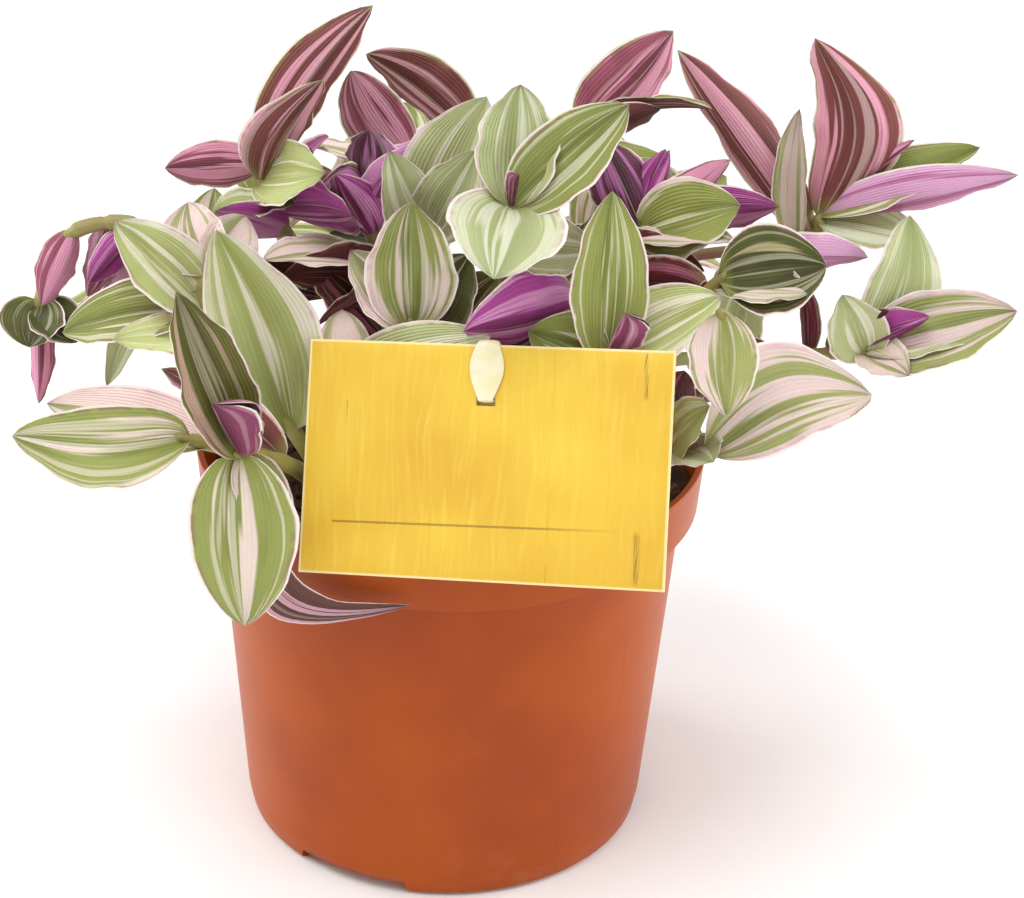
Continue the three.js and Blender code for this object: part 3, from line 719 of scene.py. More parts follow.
class Piece:
    """A mesh in the making, with the maps and attributes that its finish reads."""

    def __init__(self, baked: bool = False) -> None:
        """Starts an empty mesh.

        Args:
            baked: Whether each sheet gets a cell of its own in a map for baking.
        """
        self.bm = bmesh.new()
        self.uv = self.bm.loops.layers.uv.new(BLADE_MAP)
        self.bake = self.bm.loops.layers.uv.new(BAKE_MAP) if baked else None
        self.cells = 0
        self.ground = self.bm.verts.layers.float_color.new("ground")
        self.heart = self.bm.verts.layers.float_color.new("heart")
        self.band = self.bm.verts.layers.float_color.new("band")
        self.figure = self.bm.verts.layers.float_vector.new("figure")

    def sheet(
        self, columns: int, rows: int, place: Callable[[float, float], Vector], flip: bool = False
    ) -> list[bmesh.types.BMVert]:
        """Lays a grid over a surface.

        Args:
            columns: Faces across.
            rows: Faces along.
            place: Gives the place in metres for a spot across and along, each from 0 to 1.
            flip: Whether the faces point the other way.

        Returns:
            The grid's vertices.
        """
        verts = bmesh.ops.create_grid(self.bm, x_segments=columns, y_segments=rows, size=0.5)["verts"]
        spots = {v: (v.co.x + 0.5, v.co.y + 0.5) for v in verts}
        faces = {f for v in verts for f in v.link_faces}
        for face in faces:
            for loop in face.loops:
                u, v = spots[loop.vert]
                loop[self.uv].uv = (u, v)
                if self.bake:
                    loop[self.bake].uv = (self.cells + CELL_EDGE + u * (1 - 2 * CELL_EDGE), v)
        self.cells += 1
        for v, (across, along) in spots.items():
            v.co = place(across, along)
        if flip:
            bmesh.ops.reverse_faces(self.bm, faces=list(faces))
        return verts

    def tint(self, verts: Iterable[bmesh.types.BMVert], skin: SkinColours, shade: float, seed: float) -> None:
        """Gives vertices the colours and the figure of a skin.

        Args:
            verts: The vertices.
            skin: Their colours.
            shade: How bright they are, near 1; for the low leaves the darkening is painted shade.
            seed: What makes this leaf's stripes its own.
        """
        codes = (skin.ground, skin.heart, skin.band)
        colours = [(*(c * shade for c in linear(code)[:3]), 1.0) for code in codes]
        for v in verts:
            v[self.ground], v[self.heart], v[self.band] = colours
            v[self.figure] = Vector((skin.bands, skin.lines, seed))

    def weld(self, verts: list[bmesh.types.BMVert], reach: float = 1e-6) -> None:
        """Joins vertices that lie together."""
        bmesh.ops.remove_doubles(self.bm, verts=verts, dist=reach)

    def lay_out(self) -> None:
        """Sets the cells of the baking map in rows, each twice as tall as it is wide."""
        rows = math.ceil(math.sqrt(self.cells / 2))
        columns = math.ceil(self.cells / rows)
        for face in self.bm.faces:
            for loop in face.loops:
                u, v = loop[self.bake].uv
                cell = int(u)
                v = CELL_EDGE + v * (1 - 2 * CELL_EDGE)
                loop[self.bake].uv = ((cell % columns + u - cell) / columns, (cell // columns + v) / rows)

    def done(
        self, name: str, materials: list[bpy.types.Material], node: str, sharp: float
    ) -> bpy.types.Object:
        """Args:
            name: The piece's name.
            materials: Its materials.
            node: The CAD node that it replaces.
            sharp: Edges past this angle, in degrees, are shaded as creases.

        Returns:
            The object.
        """
        if self.bake:
            self.lay_out()
        mesh = bpy.data.meshes.new(name)
        for edge in self.bm.edges:
            edge.smooth = edge.calc_face_angle(0.0) < math.radians(sharp)
        for face in self.bm.faces:
            face.smooth = True
        self.bm.to_mesh(mesh)
        self.bm.free()
        for material in materials:
            mesh.materials.append(material)
        obj = bpy.data.objects.new(name, mesh)
        bpy.context.scene.collection.objects.link(obj)
        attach(obj, "root")
        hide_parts(node)
        log.info("%s: %d faces", name, len(mesh.polygons))
        return obj


# ---------------------------------------------------------------- the shoots


@dataclass(frozen=True)
class Leaf:
    """One leaf, as in the part's source.

    Attributes:
        place: Where it grows on its stem, counted in the stem's points.
        tip: Its tip.
        faces: The way that its upper side faces.
        width: Its width.
        arch: Degrees that the midrib bends.
        cup: Degrees that the sides are raised.
        sway: How far the midrib bends sideways.
        tone: Its colouring.
    """

    place: float
    tip: Point
    faces: Point
    width: float
    arch: float
    cup: float
    sway: float
    tone: Tone


@dataclass(frozen=True)
class Stem:
    """One stem and its leaves.

    Attributes:
        via: The points that it passes above the soil.
        leaves: Its leaves.
    """

    via: tuple[Point, ...]
    leaves: tuple[Leaf, ...]


@dataclass(frozen=True)
class Shoot:
    """One rooted shoot.

    Attributes:
        name: Its name, also of the node that it replaces.
        root: Where it stands in the soil.
        stems: Its stems.
    """

    name: str
    root: tuple[float, float]
    stems: tuple[Stem, ...]


SHOOTS = (
    Shoot("front_left", (-26, -28), (
        Stem(((-36, -43, 112), (-46, -62, 124)), (
            Leaf(4, (-57, -62, 161), (0.45, -1, 0.2), 20, -14, 48, 0, Tone.DARK),
            Leaf(4, (-50, -65, 137), (1, -0.25, 0.2), 25, 0, 112, 0, Tone.ROLL),
            Leaf(4, (-43, -74, 89), (-0.05, -1, 0.4), 24, 28, 18, -1, Tone.MIXED),
            Leaf(3.7, (-38, -61, 97), (0.2, -0.9, 0.4), 14, 20, 10, 0, Tone.PINK),
            Leaf(3.1, (-63, -42, 134), (0.3, 0.9, 0.2), 14, 20, 30, 0, Tone.BROWN),
            Leaf(3.2, (-8, -62, 88), (-0.3, -0.9, 0.1), 12, 36, 8, 20, Tone.PLUM),
        )),
        Stem(((-34, -40, 110), (-59, -56, 125)), (
            Leaf(4, (-93, -58, 125), (0, -0.8, 0.75), 20, 14, 24, -3.5, Tone.MIXED),
            Leaf(3.7, (-88, -42, 125), (0.1, -0.6, 0.8), 16, 15, 20, 0, Tone.PINK),
        )),
        Stem(((-36, -27, 113), (-55, -21, 139), (-54, -18, 147)), (
            Leaf(3, (-52, -26, 160), (-0.15, -1, 0.35), 26, 16, 18, 3, Tone.FRESH),
            Leaf(4, (-75, -18, 158), (0.3, -0.8, 0.6), 17.5, 20, 18, 0, Tone.FRESH),
            Leaf(4, (-88, -16, 130), (0, -0.6, 0.8), 17, 35, 20, 0, Tone.GREEN),
            Leaf(3.7, (-75, -30, 135), (0, -0.5, 0.85), 12, 25, 15, 0, Tone.LIME),
            Leaf(5, (-60, -8, 159), (0, -1, 0.3), 17, 20, 15, -2, Tone.PINK),
            Leaf(5, (-47, -8, 156), (0.2, -1, 0.3), 14, 25, 20, 0, Tone.PINK),
        )),
    )),
    Shoot("left", (-40, -6), (
        Stem(((-52, 0, 122), (-68, 6, 144), (-80, 8, 147), (-92, 8, 141), (-97, 4, 124)), (
            Leaf(5.6, (-95, 0, 129), (-0.2, 1, 0.3), 13, -25, 50, 0, Tone.PINK_STRIPE),
            Leaf(5, (-85, 4, 130), (0.2, 0.9, 0.1), 12, 20, 55, 0, Tone.DARK),
            Leaf(6.8, (-98, -3, 120), (-0.2, -0.6, 0.8), 17, 50, 15, 0, Tone.DARK_GREEN),
            Leaf(7, (-87, -2, 121), (0.2, -0.6, 0.8), 13, 50, 20, 0, Tone.DARK_GREEN),
            Leaf(7, (-97, 0, 104), (0.1, 0.9, 0.1), 9, 10, 60, 0, Tone.PINK_STRIPE),
            Leaf(4, (-86, 2, 119), (0.1, 0.9, 0.1), 9, 50, 40, 0, Tone.PINK),
            Leaf(4, (-81, 0, 109), (0.1, -0.9, 0.3), 9, 20, 40, 0, Tone.PALE),
            Leaf(4.3, (-84, 0, 135), (0.2, 0.9, 0.3), 10, 20, 40, 0, Tone.MAGENTA),
        )),
    )),
    Shoot("upper_left", (-20, 6), (
        Stem(((-28, 6, 128), (-42, 2, 153), (-45, 8, 163)), (
            Leaf(5, (-20, 22, 196), (-0.3, 1, 0.1), 17, -14, 30, 3, Tone.BROWN),
            Leaf(4.5, (-30, -4, 187), (-0.5, 0.9, 0.4), 18, -18, 30, 3, Tone.BROWN),
            Leaf(5, (-66, 2, 163), (-0.1, 1, -0.1), 12, 20, 25, 0, Tone.PINK_STRIPE),
            Leaf(4.6, (-29, -14, 169), (0, -0.9, 0.6), 16, 25, 15, 0, Tone.FRESH),
            Leaf(4.2, (-28, 5, 162), (0, 0.9, 0.4), 14, -20, 30, 0, Tone.BROWN),
            Leaf(4, (-23, -16, 160), (0.1, 0.9, 0.35), 22, 35, 20, -2, Tone.MAGENTA),
            Leaf(3.9, (-51, -8, 150), (0, 0.9, 0.2), 13, 20, 30, 0, Tone.MAGENTA),
        )),
    )),
    Shoot("back_left", (-8, 26), (
        Stem(((-10, 28, 130), (-14, 26, 155), (4, 28, 164)), (
            Leaf(5, (-22, 32, 181), (0, 0.9, 0.5), 19, 35, 25, 0, Tone.BROWN),
            Leaf(4.2, (-25, 20, 181), (0, 1, 0), 16, 10, 20, 2, Tone.PINK_STRIPE),
            Leaf(3, (-20, 50, 138), (0, 0.2, 1), 17, 25, 20, 0, Tone.FRESH),
            Leaf(2.7, (4, 50, 122), (0, 0.3, 1), 17, 25, 20, 0, Tone.GREEN),
            Leaf(2.5, (-30, 40, 110), (0, 0.3, 1), 17, 25, 15, 0, Tone.MIXED),
        )),
    )),
    Shoot("middle_left", (-12, -4), (
        Stem(((-16, -4, 135), (-20, -2, 155), (-20, 0, 163)), (
            Leaf(4.8, (-20, 0, 174), (0.1, 1, 0), 17, -10, 60, 0, Tone.DARK_PURPLE),
            Leaf(4.2, (-31, -6, 162), (-0.2, 1, 0), 17, -20, 45, 0, Tone.DARK_PURPLE),
            Leaf(4, (-7, 6, 170), (0.2, 1, 0), 15, -25, 30, 0, Tone.MAGENTA),
            Leaf(3.25, (-42, -26, 153), (0, -0.2, 1), 17, 25, 16, 0, Tone.PINK),
            Leaf(2.6, (-4, 18, 124), (0, 0, 1), 17, 25, 20, 0, Tone.FRESH),
            Leaf(3.2, (-38, -22, 148), (0, 0.9, 0.3), 17, 20, 15, 0, Tone.DARK_RED),
            Leaf(3, (-31, -26, 137), (0, 0.9, 0.4), 17, 20, 20, 0, Tone.DARK_RED),
        )),
    )),
    Shoot("centre", (2, -12), (
        Stem(((8, -18, 128), (12, -34, 160), (12, -32, 170)), (
            Leaf(5, (13, -18, 192), (0, -1, 0.2), 22, -8, 45, 0, Tone.PALE),
            Leaf(4.9, (36, -26, 191), (-0.2, -0.9, 0.5), 18, 20, 25, 0, Tone.GREEN),
            Leaf(4.9, (8, -54, 162), (0, -0.75, 0.7), 26, 45, 12, 0, Tone.PALE),
            Leaf(5, (13, -38, 179), (0, -0.5, 1), 8, 0, 125, 0, Tone.ROLL),
            Leaf(4, (30, -33, 160), (0.1, -0.6, 0.8), 16, 32, 14, 0, Tone.PALE),
        )),
        Stem(((0, -14, 132), (-7, -16, 158)), (
            Leaf(4, (6, -12, 187), (-0.1, -1, 0.3), 20, 15, 20, -2, Tone.PALE),
            Leaf(4, (4, -24, 179), (0.1, -0.8, 0.6), 15, 20, 20, 0, Tone.PALE),
            Leaf(3.7, (-15, -20, 177), (-0.1, -0.8, 0.5), 14, 20, 20, 0, Tone.PALE),
        )),
        Stem(((-4, -20, 126), (-10, -28, 141)), (
            Leaf(4, (-10, -27, 168), (0, -1, 0.3), 21, 14, 22, 0, Tone.MIXED),
            Leaf(4, (-23, -26, 156), (0.2, -1, 0.3), 14, 10, 30, 0, Tone.PINK),
            Leaf(3.6, (3, -22, 154), (0, -0.7, 0.6), 17, 20, 20, 0, Tone.DARK_GREEN),
            Leaf(3.2, (10, -20, 149), (0, -0.5, 0.8), 15, 25, 20, 0, Tone.DARK),
        )),
    )),
    Shoot("front", (10, -36), (
        Stem(((12, -38, 112), (35, -41, 141)), (
            Leaf(4, (33, -33, 174), (0.1, -1, 0.3), 18, 14, 25, 0, Tone.GREEN),
            Leaf(4, (58, -30, 149), (-0.1, -0.7, 0.8), 18, 25, 22, 0, Tone.FRESH),
            Leaf(4, (36, -47, 152), (1, -0.25, 0.2), 17, 0, 112, 0, Tone.ROLL),
            Leaf(3.9, (16, -40, 144), (0.1, -0.9, 0.5), 16, 20, 20, 0, Tone.GREEN),
        )),
        Stem(((22, -32, 118), (28, -30, 150)), (
            Leaf(4, (2, -39, 143), (0.1, 0.9, 0.4), 26, -35, 30, 0, Tone.MAGENTA),
        )),
        Stem(((-4, -36, 110), (-26, -31, 130)), (
            Leaf(4, (8, -39, 142), (-0.25, -0.85, 0.47), 16, 8, 8, 0, Tone.PALE),
            Leaf(4, (-25, -22, 140), (0, -0.8, 0.6), 12, 25, 10, 0, Tone.PINK),
        )),
    )),
    Shoot("front_right", (34, -30), (
        Stem(((44, -36, 112), (57, -50, 121)), (
            Leaf(4, (94, -26, 124), (-0.1, -0.8, 0.65), 25, 25, 16, -6, Tone.WIDE),
            Leaf(3.5, (56, -57, 122), (0, -0.6, 0.8), 14, 20, 10, 0, Tone.PALE),
            Leaf(3.3, (55, -52, 133), (0, -0.6, 0.8), 14, 20, 10, 0, Tone.FRESH),
            Leaf(3.1, (50, -41, 136), (0, 0.9, 0.3), 13, 20, 20, 0, Tone.DARK_RED),
        )),
        Stem(((48, -34, 118), (61, -37, 140), (56, -44, 152)), (
            Leaf(5, (58, -57, 133), (0.1, -1, 0.2), 16, -30, 20, 0, Tone.WIDE),
        )),
    )),
    Shoot("right", (40, -2), (
        Stem(((48, -9, 126), (60, -19, 150)), (
            Leaf(4, (83, -14, 150), (0, -0.8, 0.6), 22, 20, 18, 0, Tone.DARK_GREEN),
            Leaf(3.8, (79, -20, 146), (0, -0.4, 0.9), 14, 25, 20, 0, Tone.PINK),
            Leaf(4, (95, 3, 145), (0, 0.9, 0.4), 18, 14, 20, 0, Tone.LILAC),
            Leaf(3.7, (34, -9, 142), (0, 0.9, 0.4), 17, 20, 20, 0, Tone.DARK_RED),
        )),
        Stem(((58, -4, 113), (79, -7, 124), (96, -10, 127)), (
            Leaf(5, (103, 0, 157), (-0.1, -1, 0.2), 18, 10, 22, 4, Tone.PALE),
            Leaf(5, (127, -14, 140), (-0.1, -0.8, 0.6), 20, 20, 28, 0, Tone.WIDE),
            Leaf(4.9, (87, -14, 143), (-0.2, -0.8, 0.6), 15, 35, 20, 0, Tone.PALE),
            Leaf(5, (127, -12, 138), (0, -0.5, 0.9), 14, 14, 20, 0, Tone.PALE),
            Leaf(5, (103, -20, 126), (0, -0.7, 0.7), 12, 30, 30, 0, Tone.PINK),
            Leaf(4.1, (79, 0, 141), (0.5, 0.6, 0.2), 8, 20, 50, 0, Tone.DARK_RED),
        )),
    )),
    Shoot("upper_right", (28, 20), (
        Stem(((40, 22, 130), (80, 14, 144), (85, 14, 151)), (
            Leaf(4.2, (50, 26, 186), (-0.4, 1, 0.1), 17, -14, 50, -2, Tone.BROWN),
            Leaf(4, (78, 16, 176), (-0.6, -0.8, 0.1), 12, 10, 50, 0, Tone.PINK),
            Leaf(5, (81, 22, 191), (0.3, 0.95, 0.1), 24, -10, 34, -9, Tone.BROWN),
            Leaf(5, (128, 6, 165), (-0.1, 1, 0.2), 14, -8, 30, 1, Tone.LILAC),
            Leaf(5, (121, 18, 167), (0, -0.5, 0.9), 15, 14, 20, 0, Tone.GREEN),
            Leaf(5, (105, 14, 170), (0, 0.8, 0.3), 10, 0, 90, 0, Tone.PINK_STRIPE),
            Leaf(4.7, (108, 8, 147), (0, -0.5, 0.8), 15, 30, 20, 0, Tone.PALE),
        )),
    )),
    Shoot("back_right", (12, 30), (
        Stem(((18, 32, 138), (30, 32, 166)), (
            Leaf(4, (50, 40, 186), (-0.2, 1, 0.1), 20, -14, 25, -1.5, Tone.PINK_STRIPE),
            Leaf(3.9, (58, 14, 176), (0, 0.3, 1), 13, 30, 40, 0, Tone.BROWN),
            Leaf(3.6, (46, 14, 176), (0, 0.9, 0.3), 12, 20, 40, 0, Tone.DARK_RED),
            Leaf(3, (6, 54, 142), (0, 0.2, 1), 17, 25, 20, 0, Tone.PALE),
            Leaf(2.6, (37, 39, 112), (0, 0.3, 1), 17, 25, 20, 0, Tone.MIXED),
            Leaf(2.5, (4, 14, 114), (0, 0, 1), 17, 25, 15, 0, Tone.GREEN),
        )),
    )),
    Shoot("middle_right", (16, 2), (
        Stem(((26, 2, 140), (44, -2, 153)), (
            Leaf(4, (32, 2, 173), (-0.3, 1, 0.1), 18, -14, 45, 0, Tone.DARK_PURPLE),
            Leaf(4, (63, -12, 163), (-0.1, -0.8, 0.6), 19, 22, 15, 0, Tone.GREEN),
            Leaf(3.9, (73, -2, 159), (0, 0.9, 0.2), 15, 20, 25, 0, Tone.MAGENTA),
            Leaf(3.8, (48, 6, 169), (0, 0.9, 0.3), 12, -30, 60, 0, Tone.MAGENTA),
            Leaf(3.6, (62, -16, 156), (0, -0.4, 0.9), 13, 15, 30, 0, Tone.PINK),
            Leaf(3.4, (32, -12, 162), (0, -0.8, 0.5), 14, 15, 30, 0, Tone.DARK_GREEN),
            Leaf(2.6, (34, 18, 122), (0, 0, 1), 17, 25, 20, 0, Tone.GREEN),
        )),
    )),
    Shoot("back_far_left", (-36, 20), (
        Stem(((-48, 30, 108), (-66, 40, 116)), (
            Leaf(4, (-100, 46, 106), (0, -0.1, 1), 20, 30, 20, 0, Tone.GREEN),
            Leaf(4, (-84, 68, 108), (0, 0.3, 1), 19, 35, 20, 0, Tone.FRESH),
            Leaf(4, (-60, 54, 138), (0.2, -0.6, 0.8), 17, 14, 30, 0, Tone.MIXED),
            Leaf(3.7, (-92, 26, 116), (0, -0.3, 1), 17, 25, 20, 0, Tone.WIDE),
            Leaf(3.5, (-58, 62, 96), (0.2, 0.7, 0.6), 17, 25, 20, 0, Tone.PALE),
        )),
        Stem(((-40, 32, 126), (-44, 38, 140)), (
            Leaf(4, (-52, 48, 150), (0.3, -0.8, 0.4), 14, -14, 35, 0, Tone.BROWN),
            Leaf(4, (-32, 60, 150), (0, 0.8, 0.6), 17, 25, 25, 0, Tone.MAGENTA),
            Leaf(3.8, (-58, 26, 142), (0, -0.4, 0.9), 15, 20, 25, 0, Tone.FRESH),
            Leaf(3.5, (-42, 66, 130), (0, 0.3, 1), 18, 25, 20, 0, Tone.MIXED),
        )),
    )),
    Shoot("back_mid_left", (-14, 42), (
        Stem(((-20, 58, 110), (-26, 76, 116)), (
            Leaf(4, (-32, 110, 102), (0, 0.2, 1), 21, 35, 18, 0, Tone.WIDE),
            Leaf(4, (-56, 86, 112), (0, 0, 1), 18, 30, 20, 0, Tone.GREEN),
            Leaf(4, (2, 96, 116), (0, 0.1, 1), 18, 30, 20, 0, Tone.FRESH),
            Leaf(4, (-24, 88, 144), (0, -0.7, 0.7), 18, 14, 30, 0, Tone.MIXED),
            Leaf(3.5, (-12, 90, 90), (0, 0.8, 0.6), 17, 25, 15, 0, Tone.PALE),
        )),
        Stem(((-14, 50, 128), (-16, 56, 142)), (
            Leaf(4, (-14, 78, 153), (0, -0.6, 0.8), 19, 20, 30, 0, Tone.GREEN),
            Leaf(4, (-40, 70, 144), (0, 0.2, 1), 18, 25, 20, 0, Tone.PINK),
            Leaf(4, (10, 66, 152), (0, -0.4, 0.9), 17, 20, 25, 0, Tone.MIXED),
            Leaf(3.6, (-4, 86, 134), (0, 0.3, 1), 17, 25, 20, 0, Tone.FRESH),
        )),
    )),
    Shoot("back_mid_right", (16, 44), (
        Stem(((24, 58, 108), (36, 74, 116)), (
            Leaf(4, (50, 106, 102), (0, 0.2, 1), 21, 35, 18, 0, Tone.FRESH),
            Leaf(4, (72, 78, 108), (0, 0, 1), 18, 30, 20, 0, Tone.WIDE),
            Leaf(4, (22, 106, 110), (0, 0.2, 1), 18, 30, 20, 0, Tone.GREEN),
            Leaf(4, (42, 88, 142), (0, -0.7, 0.7), 18, 14, 30, 0, Tone.MIXED),
            Leaf(3.5, (32, 90, 88), (0, 0.8, 0.6), 17, 25, 15, 0, Tone.PALE),
        )),
        Stem(((22, 48, 130), (26, 54, 142)), (
            Leaf(4, (38, 76, 153), (0, -0.6, 0.8), 18, 20, 30, 0, Tone.MIXED),
            Leaf(4, (52, 54, 148), (0, -0.3, 1), 18, 25, 20, 0, Tone.GREEN),
            Leaf(4, (14, 66, 153), (0.2, -0.9, 0.3), 15, 14, 40, 0, Tone.BROWN),
            Leaf(3.6, (46, 76, 132), (0, 0.2, 1), 17, 25, 20, 0, Tone.FRESH),
        )),
    )),
    Shoot("back_far_right", (38, 26), (
        Stem(((54, 36, 102), (70, 46, 97)), (
            Leaf(4, (94, 60, 82), (0, 0, 1), 20, 30, 20, 0, Tone.WIDE),
            Leaf(4, (90, 38, 86), (0, -0.2, 1), 18, 30, 20, 0, Tone.GREEN),
            Leaf(4, (80, 80, 82), (0, 0.3, 1), 18, 35, 20, 0, Tone.FRESH),
            Leaf(4, (74, 52, 120), (-0.1, -0.7, 0.6), 17, 14, 30, 0, Tone.PALE),
            Leaf(3.5, (66, 62, 78), (0.5, 0.5, 0.6), 15, 25, 15, 0, Tone.MIXED),
        )),
        Stem(((46, 36, 126), (52, 42, 138)), (
            Leaf(4, (66, 56, 144), (-0.3, -0.4, 0.9), 17, 20, 30, 0, Tone.GREEN),
            Leaf(4, (44, 38, 154), (0.2, -0.6, 0.8), 15, 20, 30, 0, Tone.MIXED),
            Leaf(3.6, (64, 66, 126), (0, 0.3, 1), 18, 25, 20, 0, Tone.PINK),
        )),
    )),
)


# Small leaves that only the visual model has, by their shoot and the number of their stem.
SMALL_LEAVES = {
    ("middle_left", 0): (
        Leaf(3.6, (-27, -12, 168), (0.1, 0.9, 0.2), 15, -20, 50, 0, Tone.MAGENTA),
        Leaf(3.9, (-8, -9, 175), (-0.3, 0.9, 0.2), 10, -20, 50, 3, Tone.MAGENTA),
        Leaf(3.3, (-4, -12, 160), (0.2, 0.9, 0.2), 12, 14, 40, 0, Tone.DARK_PURPLE),
        Leaf(2.7, (-31, -12, 146), (0, 0.9, 0.3), 16, 20, 20, 0, Tone.DARK_RED),
    ),
    ("upper_left", 0): (
        Leaf(4.4, (-33, -4, 171), (0, 0.9, 0.3), 12, 14, 40, 0, Tone.DARK_RED),
        Leaf(3.7, (-54, -8, 157), (0, 0.9, 0.3), 15, -25, 30, 0, Tone.MAGENTA),
        Leaf(4.0, (-36, -10, 160), (0, -0.6, 0.8), 12, 20, 20, 0, Tone.GREEN),
    ),
    ("middle_right", 0): (
        Leaf(4.0, (47, 4, 170), (0.1, 0.9, 0.3), 10, 14, 70, 2, Tone.MAGENTA),
        Leaf(3.8, (55, 4, 162), (0.1, 0.9, 0.3), 11, 30, 60, 0, Tone.PINK_STRIPE),
        Leaf(3.9, (62, 6, 167), (0, 0.9, 0.2), 12, -20, 40, 0, Tone.PINK_STRIPE),
        Leaf(3.4, (56, -12, 147), (0, 0.9, 0.4), 13, 20, 20, 0, Tone.DARK_RED),
    ),
    ("right", 0): (
        Leaf(3.6, (56, -14, 141), (0, 0.8, 0.5), 13, 20, 20, 0, Tone.DARK_RED),
    ),
    ("right", 1): (
        Leaf(4.7, (107, -16, 139), (0.1, 0.9, 0.3), 14, -14, 70, 0, Tone.MAGENTA),
        Leaf(4.4, (98, -15, 140), (-0.2, 0.9, 0.3), 10, -14, 60, 0, Tone.DARK_RED),
    ),
    ("front_left", 0): (
        Leaf(3.9, (-36, -62, 107), (0.3, -0.9, 0.4), 12, 20, 20, 0, Tone.WIDE),
    ),
    ("front_left", 2): (
        Leaf(4.4, (-72, -6, 151), (0, -0.9, 0.4), 13, 20, 20, 0, Tone.GREEN),
    ),
}


@dataclass
class StemCurve:
    """The curve that a stem follows: up out of the soil, then through its via points.

    Attributes:
        root: Where it stands in the soil.
        via: The points that it passes.
        foot: Height of its lowest point.
        soil_top: Height of its second point.
        collar: Height of its third point.
        tip: How far before its end the last leaf grows.
        chords: How many straight lines measure it.
        points: The points that it passes.
        length: Its length.
    """

    root: tuple[float, float]
    via: tuple[Point, ...]
    foot: float = 74
    soil_top: float = 88
    collar: float = 94
    tip: float = 2
    chords: int = 120
    points: list[Vector] = field(init=False)
    length: float = field(init=False)

    def __post_init__(self) -> None:
        """Lists the points and measures the curve."""
        x, y = self.root
        heights = (self.foot, self.soil_top, self.collar)
        self.points = [Vector((x, y, z)) for z in heights] + [Vector(p) for p in self.via]
        spots = [self.at(i / self.chords) for i in range(self.chords + 1)]
        self.length = sum((b - a).length for a, b in zip(spots, spots[1:]))

    def at(self, share: float) -> Vector:
        """Finds a point on the curve, which is a Catmull-Rom curve of tension 0.5.

        Args:
            share: From 0 at the foot to 1 at the end, the same for each span.

        Returns:
            The point, in millimetres.
        """
        points = self.points
        spans = len(points) - 1
        i = min(int(share * spans), spans - 1)
        w = share * spans - i
        b, c = points[i], points[i + 1]
        a = points[i - 1] if i > 0 else b * 2 - c
        d = points[i + 2] if i + 2 <= spans else c * 2 - b
        start, end = (c - a) * 0.5, (d - b) * 0.5
        return b + start * w + (3 * (c - b) - 2 * start - end) * w**2 + (2 * (b - c) + start + end) * w**3

    def share_of(self, place: float) -> float:
        """Gives the share along the curve at which a leaf grows."""
        return min(place / (len(self.points) - 1), 1 - self.tip / self.length)


